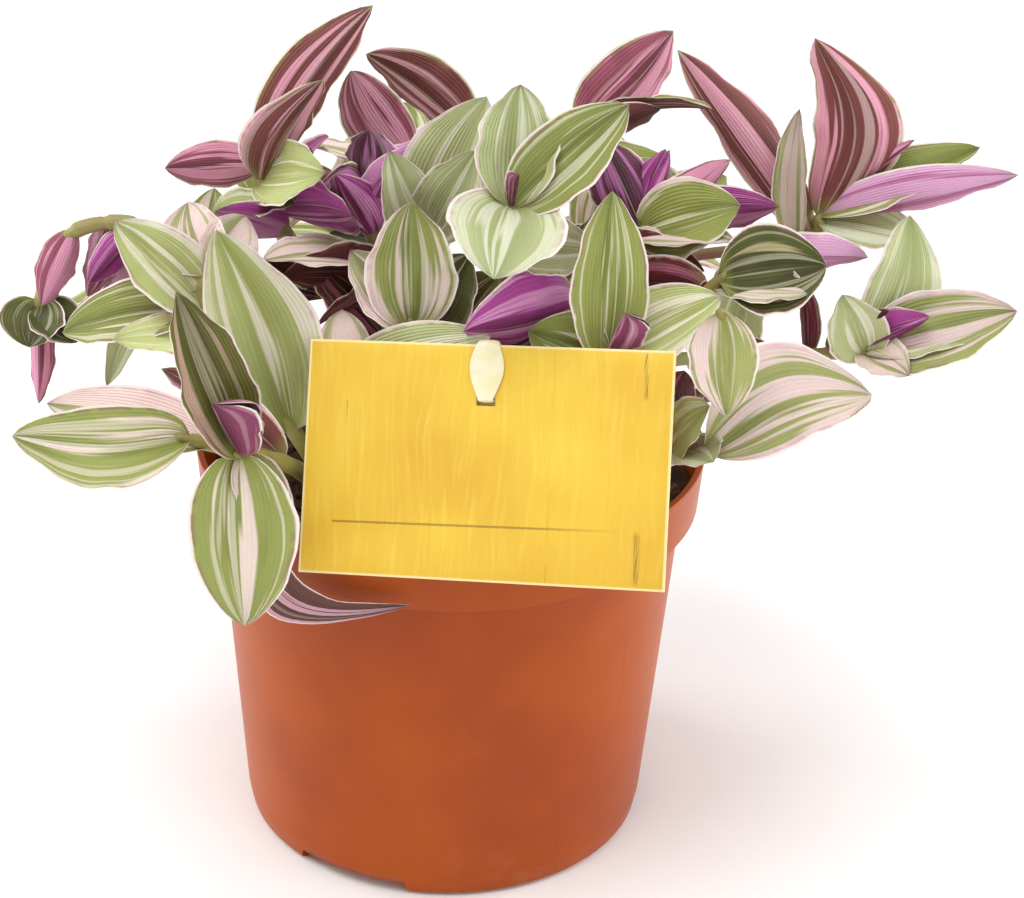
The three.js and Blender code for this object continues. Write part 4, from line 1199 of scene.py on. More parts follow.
@dataclass
class BladeShape:
    """The surface of one blade, by the same formula as the part's source, with finer relief.

    Attributes:
        leaf: What is made.
        base: Where it leaves its stem.
        seed: Makes its ripple its own.
        thickness: At the midrib.
        sheath_wrap: Degrees that each side of the base is curled up.
        sunk: How far its root passes the stem's axis.
        ripple: How far the margin waves.
        pleat: How far the veins stand out.
        rolled: Degrees of cup past which it is a rolled young leaf.
        rise: Power by which the outline widens from the base.
        fall: Power by which it narrows to the tip.
        sheath: Width of the base, as a share of the widest.
        least_bend: Degrees below which the midrib counts as straight.
    """

    leaf: Leaf
    base: Vector
    seed: float
    thickness: float = 0.62
    sheath_wrap: float = 60
    sunk: float = 0.3
    ripple: float = 0.55
    pleat: float = 0.07
    rolled: float = 90
    rise: float = 0.62
    fall: float = 0.8
    sheath: float = 0.13
    least_bend: float = 0.5

    def __post_init__(self) -> None:
        """Works out the frame of the blade."""
        leaf = self.leaf
        chord = Vector(leaf.tip) - self.base
        self.length = chord.length
        self.chord = chord.normalized()
        faces = Vector(leaf.faces)
        self.up = (faces - self.chord * faces.dot(self.chord)).normalized()
        self.side = self.chord.cross(self.up)
        self.bend = math.radians(leaf.arch if abs(leaf.arch) > self.least_bend else self.least_bend)
        self.radius = self.length / (2 * math.sin(abs(self.bend) / 2)) * math.copysign(1, self.bend)
        widest = self.rise / (self.rise + self.fall)
        self.peak = widest**self.rise * (1 - widest) ** self.fall

    def outline(self, t: float) -> float:
        """Finds how wide the blade is. A rolled leaf is wide up to its end, in a round lip.

        Args:
            t: From 0 at the base to 1 at the tip.

        Returns:
            The half-width, as a share of the widest.
        """
        sheath = self.sheath * (1 - t) ** 4
        if self.leaf.cup > self.rolled:
            return t**0.4 * (1 - t**10) ** 0.5 + sheath
        return t**self.rise * (1 - t) ** self.fall / self.peak + sheath

    def at(self, across: float, t: float, way: int) -> Vector:
        """Gives a place on a skin of the blade.

        Args:
            across: From -1 at one margin to 1 at the other.
            t: From 0 at the base to 1 at the tip.
            way: 1 for the upper skin and -1 for the lower.

        Returns:
            The place, in metres.
        """
        leaf, bend = self.leaf, self.bend
        turn = -bend / 2 + bend * t
        centre = (
            self.base
            + self.chord * (self.radius * (math.sin(turn) + math.sin(bend / 2)) - self.sunk * (1 - t) ** 6)
            + self.up * (self.radius * (math.cos(turn) - math.cos(bend / 2)))
            + self.side * (leaf.sway * math.sin(math.pi * t))
        )
        lift = self.up * math.cos(turn) + self.chord * math.sin(turn)
        half_width = leaf.width / 2 * self.outline(t)
        curl = math.radians(leaf.cup + max(self.sheath_wrap - leaf.cup, 0) * (1 - t) ** 7)
        fold, bow = 0.35 * curl, max(0.845 * curl, 1e-3)
        off, sign = abs(across), math.copysign(1, across)
        angle = fold + bow * off
        out = sign * (math.sin(angle) - math.sin(fold)) / bow
        rise = (math.cos(fold) - math.cos(angle)) / bow
        outwards = self.side * (-sign * math.sin(angle)) * ease(0, 0.2, off)
        normal = (outwards + lift * math.cos(angle)).normalized()
        body = math.sin(math.pi * min(t * 1.02, 1.0)) ** 0.5 if t < 0.98 else 0.0
        wave = math.sin((t * 2.6 + self.seed * 5) * 2 * math.pi + (0 if across < 0 else 2.1))
        wave += 0.5 * math.sin((t * 5.3 + self.seed * 3) * 2 * math.pi + (1.3 if across < 0 else 0))
        wave *= self.ripple * off**3 * ease(0.1, 0.4, t) * ease(1.0, 0.85, t) * min(leaf.width / 20, 1.0)
        pleat = self.pleat * math.cos(across * 5.5 * math.pi) * (1 - off**4) * body
        half = self.thickness / 2 * (1 - 0.55 * off) * body if off < 0.999 else 0.0
        skin = centre + self.side * (out * half_width) + lift * (rise * half_width)
        return (skin + normal * (wave + pleat + way * half)) * MM


@dataclass
class Foliage:
    """All the leafy shoots, one piece for each.

    Attributes:
        columns: Faces across a blade.
        rows: Faces along a blade.
        stem_radius: Of a stem between its nodes.
        stem_sides: Faces round a stem.
        ring_step: Distance between the rings of a stem.
        sheath: Length of the sheath under a leaf.
        seed: Starts the draws of shade and figure.
        low_step: Distance along a stem between the low leaves that only the visual model has.
        low_from: Height from which they grow.
        low_to: Height up to which they and their tips reach.
        low_reach: How far from the pot's axis their tips come.
        low_base_front: Least y of their bases, clear of the card.
        low_tip_front: Least y of their tips.
        low_turn: Degrees from one of them to the next, round the stem.
        low_tones: The colours that they are drawn from, mostly dark: partly their own colours and partly
            painted shade of the recess under the canopy.
        shade: Range of brightness of the leaves.
        low_painted_shade: Range of brightness of the low leaves, kept low as painted shade, since they sit in
            the shadow of the canopy.
        young: Colour of a stem at the soil.
        grown: Colour of a stem high up.
        ring: Colour of a stem at its nodes.
    """

    columns: int = 12
    rows: int = 22
    stem_radius: float = 1.55
    stem_sides: int = 12
    ring_step: float = 0.9
    sheath: float = 9.0
    seed: int = 7
    low_step: float = 9.0
    low_from: float = 96.0
    low_to: float = 146.0
    low_reach: float = 56.0
    low_base_front: float = -32.0
    low_tip_front: float = -36.0
    low_turn: float = 140.0
    low_tones: tuple[Tone, ...] = (Tone.DARK_GREEN, Tone.DARK_GREEN, Tone.MIXED, Tone.GREEN, Tone.DARK_RED)
    shade: tuple[float, float] = (0.88, 1.1)
    # Darker range for the low leaves: painted shade of the canopy's shadow over them.
    low_painted_shade: tuple[float, float] = (0.5, 0.85)
    young: str = "83893f"
    grown: str = "7c5048"
    ring: str = "a59c58"

    def blade(self, piece: Piece, shape: BladeShape, shade: float) -> None:
        """Adds one leaf blade: an upper and a lower skin that meet at the margin.

        Args:
            piece: The shoot.
            shape: The blade's surface.
            shade: How bright the leaf is; for the low leaves the darkening is painted shade.
        """
        made = []
        tone = shape.leaf.tone
        skins = ((1, UPPER.get(tone, PLAIN_UPPER)), (-1, LOWER.get(tone, PLAIN_LOWER)))
        for way, skin in skins:
            def place(u: float, v: float, way: int = way) -> Vector:
                """Gives a place on this skin."""
                return shape.at(2 * u - 1, v, way)

            verts = piece.sheet(self.columns, self.rows, place, flip=way < 0)
            piece.tint(verts, skin, shade, shape.seed)
            made += verts
        piece.weld(made)

    def stem(self, piece: Piece, curve: StemCurve, nodes: list[float], seed: float) -> None:
        """Adds one stem: a tube that swells at its leaves and wears a sheath under each.

        Args:
            piece: The shoot.
            curve: What it follows.
            nodes: Shares of the curve at which its leaves grow.
            seed: Makes its streaks its own.
        """
        count = int(curve.length / self.ring_step)
        spots = [curve.at(i / count) for i in range(count + 1)]
        frames, normal = [], Vector((1, 0, 0))
        for i in range(count + 1):
            along = (spots[min(i + 1, count)] - spots[max(i - 1, 0)]).normalized()
            normal = (normal - along * normal.dot(along)).normalized()
            frames.append((normal.copy(), along.cross(normal)))
        bare, sheath = self.stem_radius, self.sheath

        def radius(share: float) -> float:
            """Finds how thick the stem is.

            Args:
                share: From 0 at the foot to 1 at the end.

            Returns:
                Its radius, which is 0 at both ends.
            """
            if not 0.001 < share < 0.999:
                return 0.0
            widths = [bare * (1.04 - 0.22 * share)]
            for at in nodes:
                gap = (at - share) * curve.length
                swelling = 1 + 0.28 * math.exp(-(((gap - 0.5) / 1.6) ** 2))
                widths.append(bare * swelling * (1 - 0.2 * share))
                if 0 < gap < sheath:
                    widths.append(bare * (1.0 - 0.15 * share) + 0.22 + 0.3 * (1 - gap / sheath))
            return max(widths) * (0.5 + 0.5 * ease(0.0, 5.0, (1 - share) * curve.length))

        def place(u: float, v: float) -> Vector:
            """Finds a place on the tube.

            Args:
                u: Share of the way round.
                v: Share of the way up.

            Returns:
                The place, in metres.
            """
            i = min(round(v * count), count)
            first, second = frames[i]
            angle = 2 * math.pi * u
            return (spots[i] + (first * math.cos(angle) + second * math.sin(angle)) * radius(i / count)) * MM

        verts = piece.sheet(self.stem_sides, count, place)
        young, grown, ring = (Vector(linear(code)) for code in (self.young, self.grown, self.ring))
        for v in verts:
            age = ease(curve.soil_top, 150, v.co.z / MM) * (0.55 + 0.45 * noise.noise(v.co * 90))
            near = min(abs((v.co / MM - curve.at(at)).length - 3.0) for at in nodes)
            v[piece.ground] = young.lerp(grown, age).lerp(ring, 0.55 * ease(4.5, 1.0, near))
            v[piece.figure] = Vector((0, 0.75 * ease(2.0, 8.0, near), seed))
        piece.weld(verts)

    def low_leaves(self, curve: StemCurve, until: float, draw: random.Random) -> list[tuple[Leaf, Vector]]:
        """Draws the small leaves on the bare foot of a stem, which hide it and the soil.

        Args:
            curve: The stem.
            until: Share of the curve at which its own leaves begin.
            draw: Where the draws come from.

        Returns:
            Each leaf and its place on the stem.
        """
        found = []
        turn = draw.uniform(0, 2 * math.pi)
        for i in range(int(curve.length / self.low_step)):
            share = (i + draw.uniform(0.2, 0.8)) * self.low_step / curve.length
            base = curve.at(share)
            turn += math.radians(self.low_turn)
            low = self.low_from < base.z < self.low_to
            if share > until or not low or base.y < self.low_base_front:
                continue
            rise = draw.uniform(0.0, 0.7)
            length = draw.uniform(18, 25)
            tip = base + Vector((math.cos(turn), math.sin(turn), rise)).normalized() * length
            inside = math.hypot(tip.x, tip.y) < self.low_reach and tip.y > self.low_tip_front
            if tip.z > self.low_to or not inside:
                continue
            # Mostly dark tones: partly the leaves' own colour and partly painted shade of the recess under
            # the canopy.
            tone = draw.choice(self.low_tones)
            faces = (0, 0.9, 0.2) if tone is Tone.DARK_RED else (0, -0.2, 1)
            found.append((Leaf(0, tuple(tip), faces, draw.uniform(12, 15), 25, 20, 0, tone), base))
        return found

    def build(self, leaf_skin: bpy.types.Material, stem_skin: bpy.types.Material) -> None:
        """Makes every shoot.

        Args:
            leaf_skin: Finish of the leaves.
            stem_skin: Finish of the stems.
        """
        draw = random.Random(self.seed)
        for shoot in SHOOTS:
            piece = Piece(baked=True)
            for number, stem in enumerate(shoot.stems):
                curve = StemCurve(shoot.root, stem.via)
                added = SMALL_LEAVES.get((shoot.name, number), ())
                grown = [(leaf, curve.at(curve.share_of(leaf.place))) for leaf in stem.leaves + added]
                shares = [curve.share_of(leaf.place) for leaf in stem.leaves]
                low = self.low_leaves(curve, min(shares), random.Random(f"{shoot.name} {number}"))
                # The low leaves take their brightness from the darker range, as painted shade under the
                # canopy.
                for shades, blades in ((self.shade, grown), (self.low_painted_shade, low)):
                    for leaf, base in blades:
                        shape = BladeShape(leaf, base, draw.random())
                        self.blade(piece, shape, draw.uniform(*shades))
                leaves = len(piece.bm.faces)
                self.stem(piece, curve, shares, draw.random())
                piece.bm.faces.ensure_lookup_table()
                for face in piece.bm.faces[leaves:]:
                    face.material_index = 1
            piece.done(f"leafy_{shoot.name}", [leaf_skin, stem_skin], f"shoot_{shoot.name}", 60.0)


# ---------------------------------------------------------------- pot and soil


@dataclass
class Pot:
    """The nursery pot, and how the soil fills it.

    Attributes:
        rim_radius: Outside, at the top.
        skirt_radius: Outside, at the lower edge of the rim band.
        height: Of the pot.
        rim_height: Of the rim band.
        neck_radius: Of the body, just under the band.
        foot_radius: Of the body at the surface that it stands on.
        levels: Heights at which the outside of the body has rings of corners.
        wall: Thickness of the wall.
        floor_bottom: Height of the floor's underside.
        floor_thickness: Of the floor.
        ring_width: Of the foot ring.
        middle_foot: Radius of the foot in the middle.
        slope: Run of the slopes beside the feet.
        notch_width: Of the notches in the foot.
        notch_height: Height that they reach.
        notch_first: Where the first stands, in degrees.
        notch_depth: How far a notch's cutter reaches across the ring.
        notches: How many there are.
        hole_radius: Of the drain holes.
        hole_ring: How far they stand from the axis.
        hole_cut: How high they are cut, from the surface that the pot stands on.
        holes: How many there are.
        soil_top: Height of the soil in the middle.
        soil_gap: Between the soil and the pot.
        steps: Faces round the pot.
    """

    rim_radius: float = 60
    skirt_radius: float = 59
    height: float = 98
    rim_height: float = 13.3
    neck_radius: float = 55.4
    foot_radius: float = 48.7
    levels: tuple[float, ...] = (5.5, 30, 58)
    wall: float = 1.5
    floor_bottom: float = 3.4
    floor_thickness: float = 1.8
    ring_width: float = 5
    middle_foot: float = 20
    slope: float = 1.5
    notch_width: float = 28
    notch_height: float = 3.4
    notch_first: float = -117
    notch_depth: float = 14
    notches: int = 3
    hole_radius: float = 4
    hole_ring: float = 33
    hole_cut: float = 8
    holes: int = 5
    soil_top: float = 88
    soil_gap: float = 0.3
    steps: int = 144

    def body_radius(self, z: float) -> float:
        """Gives the body's outside radius at height z."""
        return self.foot_radius + (self.neck_radius - self.foot_radius) * z / (self.height - self.rim_height)

    def inside(self, inset: float) -> list[tuple[float, float]]:
        """Lists the corners of the pot's inside, from the axis outwards and up.

        Args:
            inset: How far they are drawn in.

        Returns:
            Radius and height of each corner.
        """
        step = self.height - self.rim_height
        floor = self.floor_bottom + self.floor_thickness
        return [
            (0, self.floor_thickness + inset),
            (self.middle_foot, self.floor_thickness + inset),
            (self.middle_foot + self.slope, floor + inset),
            (self.body_radius(floor) - self.wall - inset, floor + inset),
            (self.body_radius(step) - self.wall - inset, step - 1 + inset),
            (self.skirt_radius - self.wall - inset, step + 0.5 + inset),
        ]

    def spun(self, piece: Piece, profile: list[tuple[float, float]], rounding: float) -> None:
        """Spins a profile round the axis, with its corners rounded.

        Args:
            piece: The mesh.
            profile: Radius and height of each corner, from axis to axis.
            rounding: How much each corner is cut back.
        """
        bm = piece.bm
        verts = [bm.verts.new(metres((r, 0, z))) for r, z in profile]
        for a, b in zip(verts, verts[1:]):
            bm.edges.new((a, b))
        corners = [v for v in verts if len(v.link_edges) == 2]
        bmesh.ops.bevel(
            bm,
            geom=corners,
            offset=rounding * MM,
            offset_type="OFFSET",
            segments=4,
            profile=0.5,
            affect="VERTICES",
            material=-1,
            clamp_overlap=True,
        )
        bmesh.ops.spin(
            bm,
            geom=bm.verts[:] + bm.edges[:],
            cent=(0, 0, 0),
            axis=(0, 0, 1),
            angle=2 * math.pi,
            steps=self.steps,
            use_merge=True,
        )
        bmesh.ops.remove_doubles(bm, verts=bm.verts[:], dist=1e-6)
        bmesh.ops.recalc_face_normals(bm, faces=bm.faces[:])

    def build(self, plastic: bpy.types.Material) -> bpy.types.Object:
        """Makes the pot.

        Args:
            plastic: Its finish.

        Returns:
            The pot.
        """
        step = self.height - self.rim_height
        ring_inside = self.foot_radius - self.ring_width
        profile = [
            (0, 0),
            (self.middle_foot, 0),
            (self.middle_foot + self.slope, self.floor_bottom),
            (ring_inside - self.slope, self.floor_bottom),
            (ring_inside, 0),
            (self.foot_radius - 2.2, 0),
            (self.foot_radius - 0.4, 1.2),
            *[(self.body_radius(z), z) for z in self.levels],
            (self.body_radius(step - 1.4), step - 1.4),
            (self.body_radius(step) + 0.5, step),
            (self.skirt_radius, step),
            (self.rim_radius - 0.1, self.height - 1.6),
            (self.rim_radius, self.height - 1.2),
            (self.rim_radius, self.height),
            (self.rim_radius - self.wall, self.height),
            *reversed(self.inside(0)),
        ]
        piece = Piece()
        self.spun(piece, profile, 0.35)
        pot = piece.done("nursery_pot", [plastic], "pot", 35.0)
        self.cut(pot)
        return pot

    def cut(self, pot: bpy.types.Object) -> None:
        """Cuts the notches of the foot and the drain holes.

        Args:
            pot: The spun pot.
        """
        bm = bmesh.new()
        for i in range(self.notches):
            angle = math.radians(self.notch_first + 360 / self.notches * i)
            turn = Matrix.Rotation(angle, 4, "Z") @ Matrix.Translation(metres((self.foot_radius, 0, 0)))
            size = Matrix.Diagonal((*metres((self.notch_depth, self.notch_width, self.notch_height * 2)), 1))
            made = bmesh.ops.create_cube(bm, size=1, matrix=turn @ size)["verts"]
            edges = [e for e in {e for v in made for e in v.link_edges} if all(v.co.z > 0 for v in e.verts)]
            round_edges(bm, edges, 0.8, 3)
        for i in range(self.holes):
            angle = 2 * math.pi * i / self.holes
            x, y = self.hole_ring * math.cos(angle), self.hole_ring * math.sin(angle)
            bmesh.ops.create_cone(
                bm,
                cap_ends=True,
                segments=32,
                radius1=self.hole_radius * MM,
                radius2=self.hole_radius * MM,
                depth=self.hole_cut * MM,
                matrix=Matrix.Translation(metres((x, y, self.hole_cut / 2))),
            )
        bmesh.ops.recalc_face_normals(bm, faces=bm.faces[:])
        mesh = bpy.data.meshes.new("pot_cutter")
        bm.to_mesh(mesh)
        bm.free()
        cutter = bpy.data.objects.new("pot_cutter", mesh)
        bpy.context.scene.collection.objects.link(cutter)
        modifier = pot.modifiers.new("cut", "BOOLEAN")
        modifier.object = cutter
        modifier.operation = "DIFFERENCE"
        modifier.solver = "EXACT"
        shape = bpy.data.meshes.new_from_object(pot.evaluated_get(bpy.context.evaluated_depsgraph_get()))
        pot.modifiers.clear()
        spare = pot.data
        pot.data = shape
        pot.data.name = "nursery_pot"
        bpy.data.meshes.remove(spare)
        bpy.data.objects.remove(cutter)
        bpy.data.meshes.remove(mesh)


@dataclass
class Soil:
    """The soil that fills the pot, with crumbs and fibres lying on it.

    Attributes:
        pot: The pot that it fills.
        crown: How much lower it lies at the wall.
        relief: How far its surface rises and falls.
        sink: How far that relief is let down.
        rings: Rings of faces over its top.
        crumbs: How many crumbs lie on it.
        fibres: How many fibres lie on it.
        crumb_reach: How far from the axis crumbs lie.
        fibre_reach: How far from the axis the middles of fibres lie.
        fibre_most: How far from the axis any part of a fibre lies.
        seed: Starts the draws of their places.
        shades: Colours of the mix, its crumbs and its fibres.
        fibre_shades: Places in shades that a fibre's colour is drawn from.
    """

    pot: Pot
    crown: float = 1.5
    relief: float = 1.6
    sink: float = 0.6
    rings: int = 44
    crumbs: int = 520
    fibres: int = 70
    crumb_reach: float = 55.5
    fibre_reach: float = 54
    fibre_most: float = 56
    seed: int = 11
    shades: tuple[str, ...] = ("2e2119", "4a3728", "6a5138", "8d7550", "241a14", "a59064")
    fibre_shades: tuple[int, ...] = (2, 3, 3, 5, 1)

    def surface(self, x: float, y: float) -> float:
        """Finds the height of the soil.

        Args:
            x: Where, to the right.
            y: Where, to the back.

        Returns:
            The height, in millimetres.
        """
        reach = math.hypot(x, y) / self.pot.skirt_radius
        spot = Vector((x, y, 0))
        layers = ((0.10, 0.6), (0.35, 0.3), (0.9, 0.18))
        rough = sum(noise.noise(spot * scale) * share for scale, share in layers)
        return self.pot.soil_top - self.crown * reach**2 + self.relief * rough - self.sink

    def build(self, finish: bpy.types.Material) -> bpy.types.Object:
        """Makes the soil.

        Args:
            finish: Its material.

        Returns:
            The soil.
        """
        piece = Piece()
        wall = self.pot.inside(self.pot.soil_gap)
        edge, level = wall[-1][0], self.pot.soil_top - self.crown
        top = [(edge * (1 - i / self.rings), level) for i in range(self.rings + 1)]
        self.pot.spun(piece, [*wall, *top], 0.05)
        shades = [Vector(linear(code)) for code in self.shades]
        for v in piece.bm.verts:
            x, y, z = v.co / MM
            if z > level - 0.5:
                v.co.z = self.surface(x, y) * MM
            v[piece.ground] = shades[0].lerp(shades[1], 0.5 + 0.5 * noise.noise(v.co * 160))
        draw = random.Random(self.seed)
        for _ in range(self.crumbs):
            self.crumb(piece, draw, shades)
        for _ in range(self.fibres):
            self.fibre(piece, draw, shades)
        bmesh.ops.recalc_face_normals(piece.bm, faces=piece.bm.faces[:])
        return piece.done("soil_mix", [finish], "soil", 50.0)

    @staticmethod
    def spot(draw: random.Random, reach: float) -> tuple[float, float]:
        """Draws a place on the soil, spread evenly up to a reach from the axis."""
        turn, off = draw.uniform(0, 2 * math.pi), reach * math.sqrt(draw.random())
        return off * math.cos(turn), off * math.sin(turn)

    def crumb(self, piece: Piece, draw: random.Random, shades: list[Vector]) -> None:
        """Lays one crumb on the soil.

        Args:
            piece: The soil.
            draw: Where its place, size and form come from.
            shades: The colours that it can have.
        """
        x, y = self.spot(draw, self.crumb_reach)
        size = draw.uniform(0.5, 2.3)
        turn = Euler([draw.uniform(0, 6.3) for _ in range(3)]).to_matrix().to_4x4()
        sides = Vector((1, draw.uniform(0.6, 1), draw.uniform(0.4, 0.8))) * size * MM
        where = Matrix.Translation(metres((x, y, self.surface(x, y) + size * 0.25)))
        matrix = where @ turn @ Matrix.Diagonal((*sides, 1))
        verts = bmesh.ops.create_icosphere(piece.bm, subdivisions=1, radius=1, matrix=matrix)["verts"]
        shade = draw.choice(shades)
        for v in verts:
            v.co += Vector([draw.uniform(-0.18, 0.18) * size * MM for _ in range(3)])
            v[piece.ground] = shade

    def fibre(self, piece: Piece, draw: random.Random, shades: list[Vector]) -> None:
        """Lays one bent fibre on the soil.

        Args:
            piece: The soil.
            draw: Where its place, size and form come from.
            shades: The colours of the soil.
        """
        x, y = self.spot(draw, self.fibre_reach)
        heading, bend, length = draw.uniform(0, 6.3), draw.uniform(-0.5, 0.5), draw.uniform(5, 14)
        thick, hop = draw.uniform(0.16, 0.42), draw.uniform(0.3, 2.2)

        def place(u: float, v: float) -> Vector:
            """Finds a place on the fibre's tube.

            Args:
                u: Share of the way round.
                v: Share of the way along.

            Returns:
                The place, in metres.
            """
            way, run = heading + bend * (v - 0.5), length * (v - 0.5)
            px, py = x + math.cos(way) * run, y + math.sin(way) * run
            within = min(1, self.fibre_most / math.hypot(px, py))
            px, py = px * within, py * within
            r = thick * (0.35 + math.sin(math.pi * min(max(v, 0.02), 0.98)) ** 0.4) if 0 < v < 1 else 0.0
            side, up = r * math.cos(2 * math.pi * u), r * math.sin(2 * math.pi * u)
            z = self.surface(px, py) + thick * 0.6 + hop * math.sin(math.pi * v)
            return metres((px - math.sin(way) * side, py + math.cos(way) * side, z + up))

        verts = piece.sheet(5, 8, place)
        shade = shades[draw.choice(self.fibre_shades)]
        for v in verts:
            v[piece.ground] = shade
        piece.weld(verts)


# ---------------------------------------------------------------- card and tie


@dataclass
class Card:
    """The plain card and the tie that holds it.

    Attributes:
        width: Of the card.
        height: Of the card.
        thickness: Of the card.
        centre: Its middle.
        lean_back: Degrees that it leans.
        turn: Degrees that it is turned round the upright.
        roll: Degrees that it is rolled.
        slot_x: Middle of the tie's slot, along the card.
        slot_z: Middle of the tie's slot, up the card.
        slot_size: Width and height of the slot.
        columns: Faces along the card on each side of the slot.
        rows: Faces up the card below the slot and above it.
        bow: How far the card's middle stands forward of its ends.
        gap: Between the card and the tie.
        tie_width: Of the tie at its widest.
        tie_thickness: Of the tie.
        tie_narrow: Width of the tie in the slot.
        stake_width: Of the stake.
        stake_thickness: Of the stake.
        stake_gap: Between the loop and the stake's middle plane, less half its own thickness.
        stake_head: How far the stake's head stands above the middle of the slot.
        stake_foot: Height of the stake's point.
        stake_point: Length of the stake's point.
        stake_tip: Share of its width that the stake keeps at the point.
    """

    width: float = 81
    height: float = 51
    thickness: float = 0.8
    centre: Point = (7.2, -54.0, 119)
    lean_back: float = 28.2
    turn: float = -16.8
    roll: float = 6.4
    slot_x: float = -0.3
    slot_z: float = 13.2
    slot_size: tuple[float, float] = (4.2, 1.8)
    columns: int = 14
    rows: tuple[int, int] = (14, 4)
    bow: float = 0.25
    gap: float = 0.3
    tie_width: float = 7.6
    tie_thickness: float = 0.8
    tie_narrow: float = 3.2
    stake_width: float = 5
    stake_thickness: float = 1.2
    stake_gap: float = 0.2
    stake_head: float = 3
    stake_foot: float = 76
    stake_point: float = 6
    stake_tip: float = 0.12

    def placed(self) -> Matrix:
        """Finds the card's place.

        Returns:
            What moves a card whose X runs along it, Z up it and Y out of its back to its place.
        """
        turn = Matrix.Rotation(math.radians(self.turn), 4, "Z")
        lean = Matrix.Rotation(-math.radians(self.lean_back), 4, "X")
        roll = Matrix.Rotation(-math.radians(self.roll), 4, "Y")
        return Matrix.Translation(metres(self.centre)) @ turn @ lean @ roll

    def build(self, stock: bpy.types.Material) -> bpy.types.Object:
        """Makes the card, with its slot and slightly bowed.

        Args:
            stock: Its finish.

        Returns:
            The card.
        """
        piece = Piece()
        placed = self.placed()
        half_x, half_z = self.slot_size[0] / 2, self.slot_size[1] / 2
        across = (-self.width / 2, self.slot_x - half_x, self.slot_x + half_x, self.width / 2)
        upward = (-self.height / 2, self.slot_z - half_z, self.slot_z + half_z, self.height / 2)
        xs = spaced(across, (self.columns, 2, self.columns))
        zs = spaced(upward, (self.rows[0], 2, self.rows[1]))

        def place(u: float, v: float) -> Vector:
            """Gives a place on the card's front, before it leans."""
            x, z = xs[round(u * (len(xs) - 1))], zs[round(v * (len(zs) - 1))]
            return metres((x, -self.thickness / 2, z))

        verts = piece.sheet(len(xs) - 1, len(zs) - 1, place)
        bm = piece.bm
        for face in bm.faces:
            for loop in face.loops:
                x, _, z = loop.vert.co / MM
                loop[piece.uv].uv = (x / self.width + 0.5, z / self.height + 0.5)
        slot = metres((self.slot_x, 0, self.slot_z))
        offs = [(face, face.calc_center_median() - slot) for face in bm.faces]
        hole = [face for face, off in offs if abs(off.x) < half_x * MM and abs(off.z) < half_z * MM]
        bmesh.ops.delete(bm, geom=hole, context="FACES")
        bmesh.ops.recalc_face_normals(bm, faces=bm.faces[:])
        bm.faces.ensure_lookup_table()
        if bm.faces[0].normal.y > 0:
            bmesh.ops.reverse_faces(bm, faces=bm.faces[:])
        bmesh.ops.solidify(bm, geom=bm.faces[:], thickness=self.thickness * MM)
        front = min(v.co.y for v in bm.verts)
        edges = [e for e in bm.edges if e.is_manifold and e.calc_face_angle(0) > 1.2]
        round_edges(bm, edges, 0.12, 2)
        for v in bm.verts:
            x, y, z = v.co / MM
            share = 2 * x / self.width
            y -= front / MM + self.thickness / 2 + self.bow * (0.5 - share * share)
            v.co = placed @ metres((x, y, z))
        bmesh.ops.recalc_face_normals(bm, faces=bm.faces[:])
        return piece.done("card_plain", [stock], "card", 30.0)

    def build_tie(self, milky: bpy.types.Material) -> bpy.types.Object:
        """Makes the tie: a drop-shaped loop over the card's edge, on a pointed stake in the soil.

        Args:
            milky: Its finish.

        Returns:
            The tie.
        """
        piece = Piece()
        placed = self.placed()
        back = self.thickness / 2 + self.gap + self.tie_thickness / 2
        low = self.slot_z + self.slot_size[1] / 2 - self.gap - self.tie_thickness / 2
        high = self.height / 2 + self.gap + self.tie_thickness / 2
        rise = high - low
        straight, arc = rise - back, math.pi * back
        path = 2 * straight + arc + 2 * back

        def loop_at(share: float) -> tuple[float, float, float, float]:
            """Follows the loop: up the card's front, over its edge, down its back and through the slot.

            Args:
                share: From 0 to 1 along the path.

            Returns:
                Depth and height on the card, and the two parts of the way out of the loop.
            """
            run = share * path
            if run < straight:
                return -back, low + run, -1, 0
            run -= straight
            if run < arc:
                a = math.pi - run / back
                return back * math.cos(a), high - back + back * math.sin(a), math.cos(a), math.sin(a)
            run -= arc
            if run < straight:
                return back, high - back - run, 1, 0
            run -= straight
            return back - run, low, 0, -1

        def width_at(z: float) -> float:
            """Finds how wide the loop is: widest near the top.

            Args:
                z: Height on the card.

            Returns:
                The width.
            """
            share = (z - low) / rise
            drop = math.sin(math.pi * min(max(share * 0.86 + 0.02, 0), 1)) ** 1.3
            return self.tie_narrow + (self.tie_width - self.tie_narrow) * drop

        def place(u: float, v: float) -> Vector:
            """Finds a place on the band.

            Args:
                u: Share of the way round the band's section.
                v: Share of the way round the loop.

            Returns:
                The place, in metres.
            """
            depth, z, oy, oz = loop_at(v % 1.0)
            angle = 2 * math.pi * u
            c, s = math.cos(angle), math.sin(angle)
            x = math.copysign(abs(c) ** 0.6, c) * width_at(z) / 2
            out = math.copysign(abs(s) ** 0.8, s) * self.tie_thickness / 2 * (1.0 - 0.2 * abs(c))
            return placed @ metres((self.slot_x + x, depth + oy * out, z + oz * out))

        verts = piece.sheet(20, 72, place)
        piece.weld(verts, 1e-5)
        self.add_stake(piece)
        bm = piece.bm
        edges = [e for e in bm.edges if e.calc_face_angle(0) > 1.2 and e.calc_length() > 2 * MM]
        round_edges(bm, edges, 0.25, 2)
        bmesh.ops.recalc_face_normals(bm, faces=bm.faces[:])
        return piece.done("tie_loop", [milky], "card_tie", 45.0)

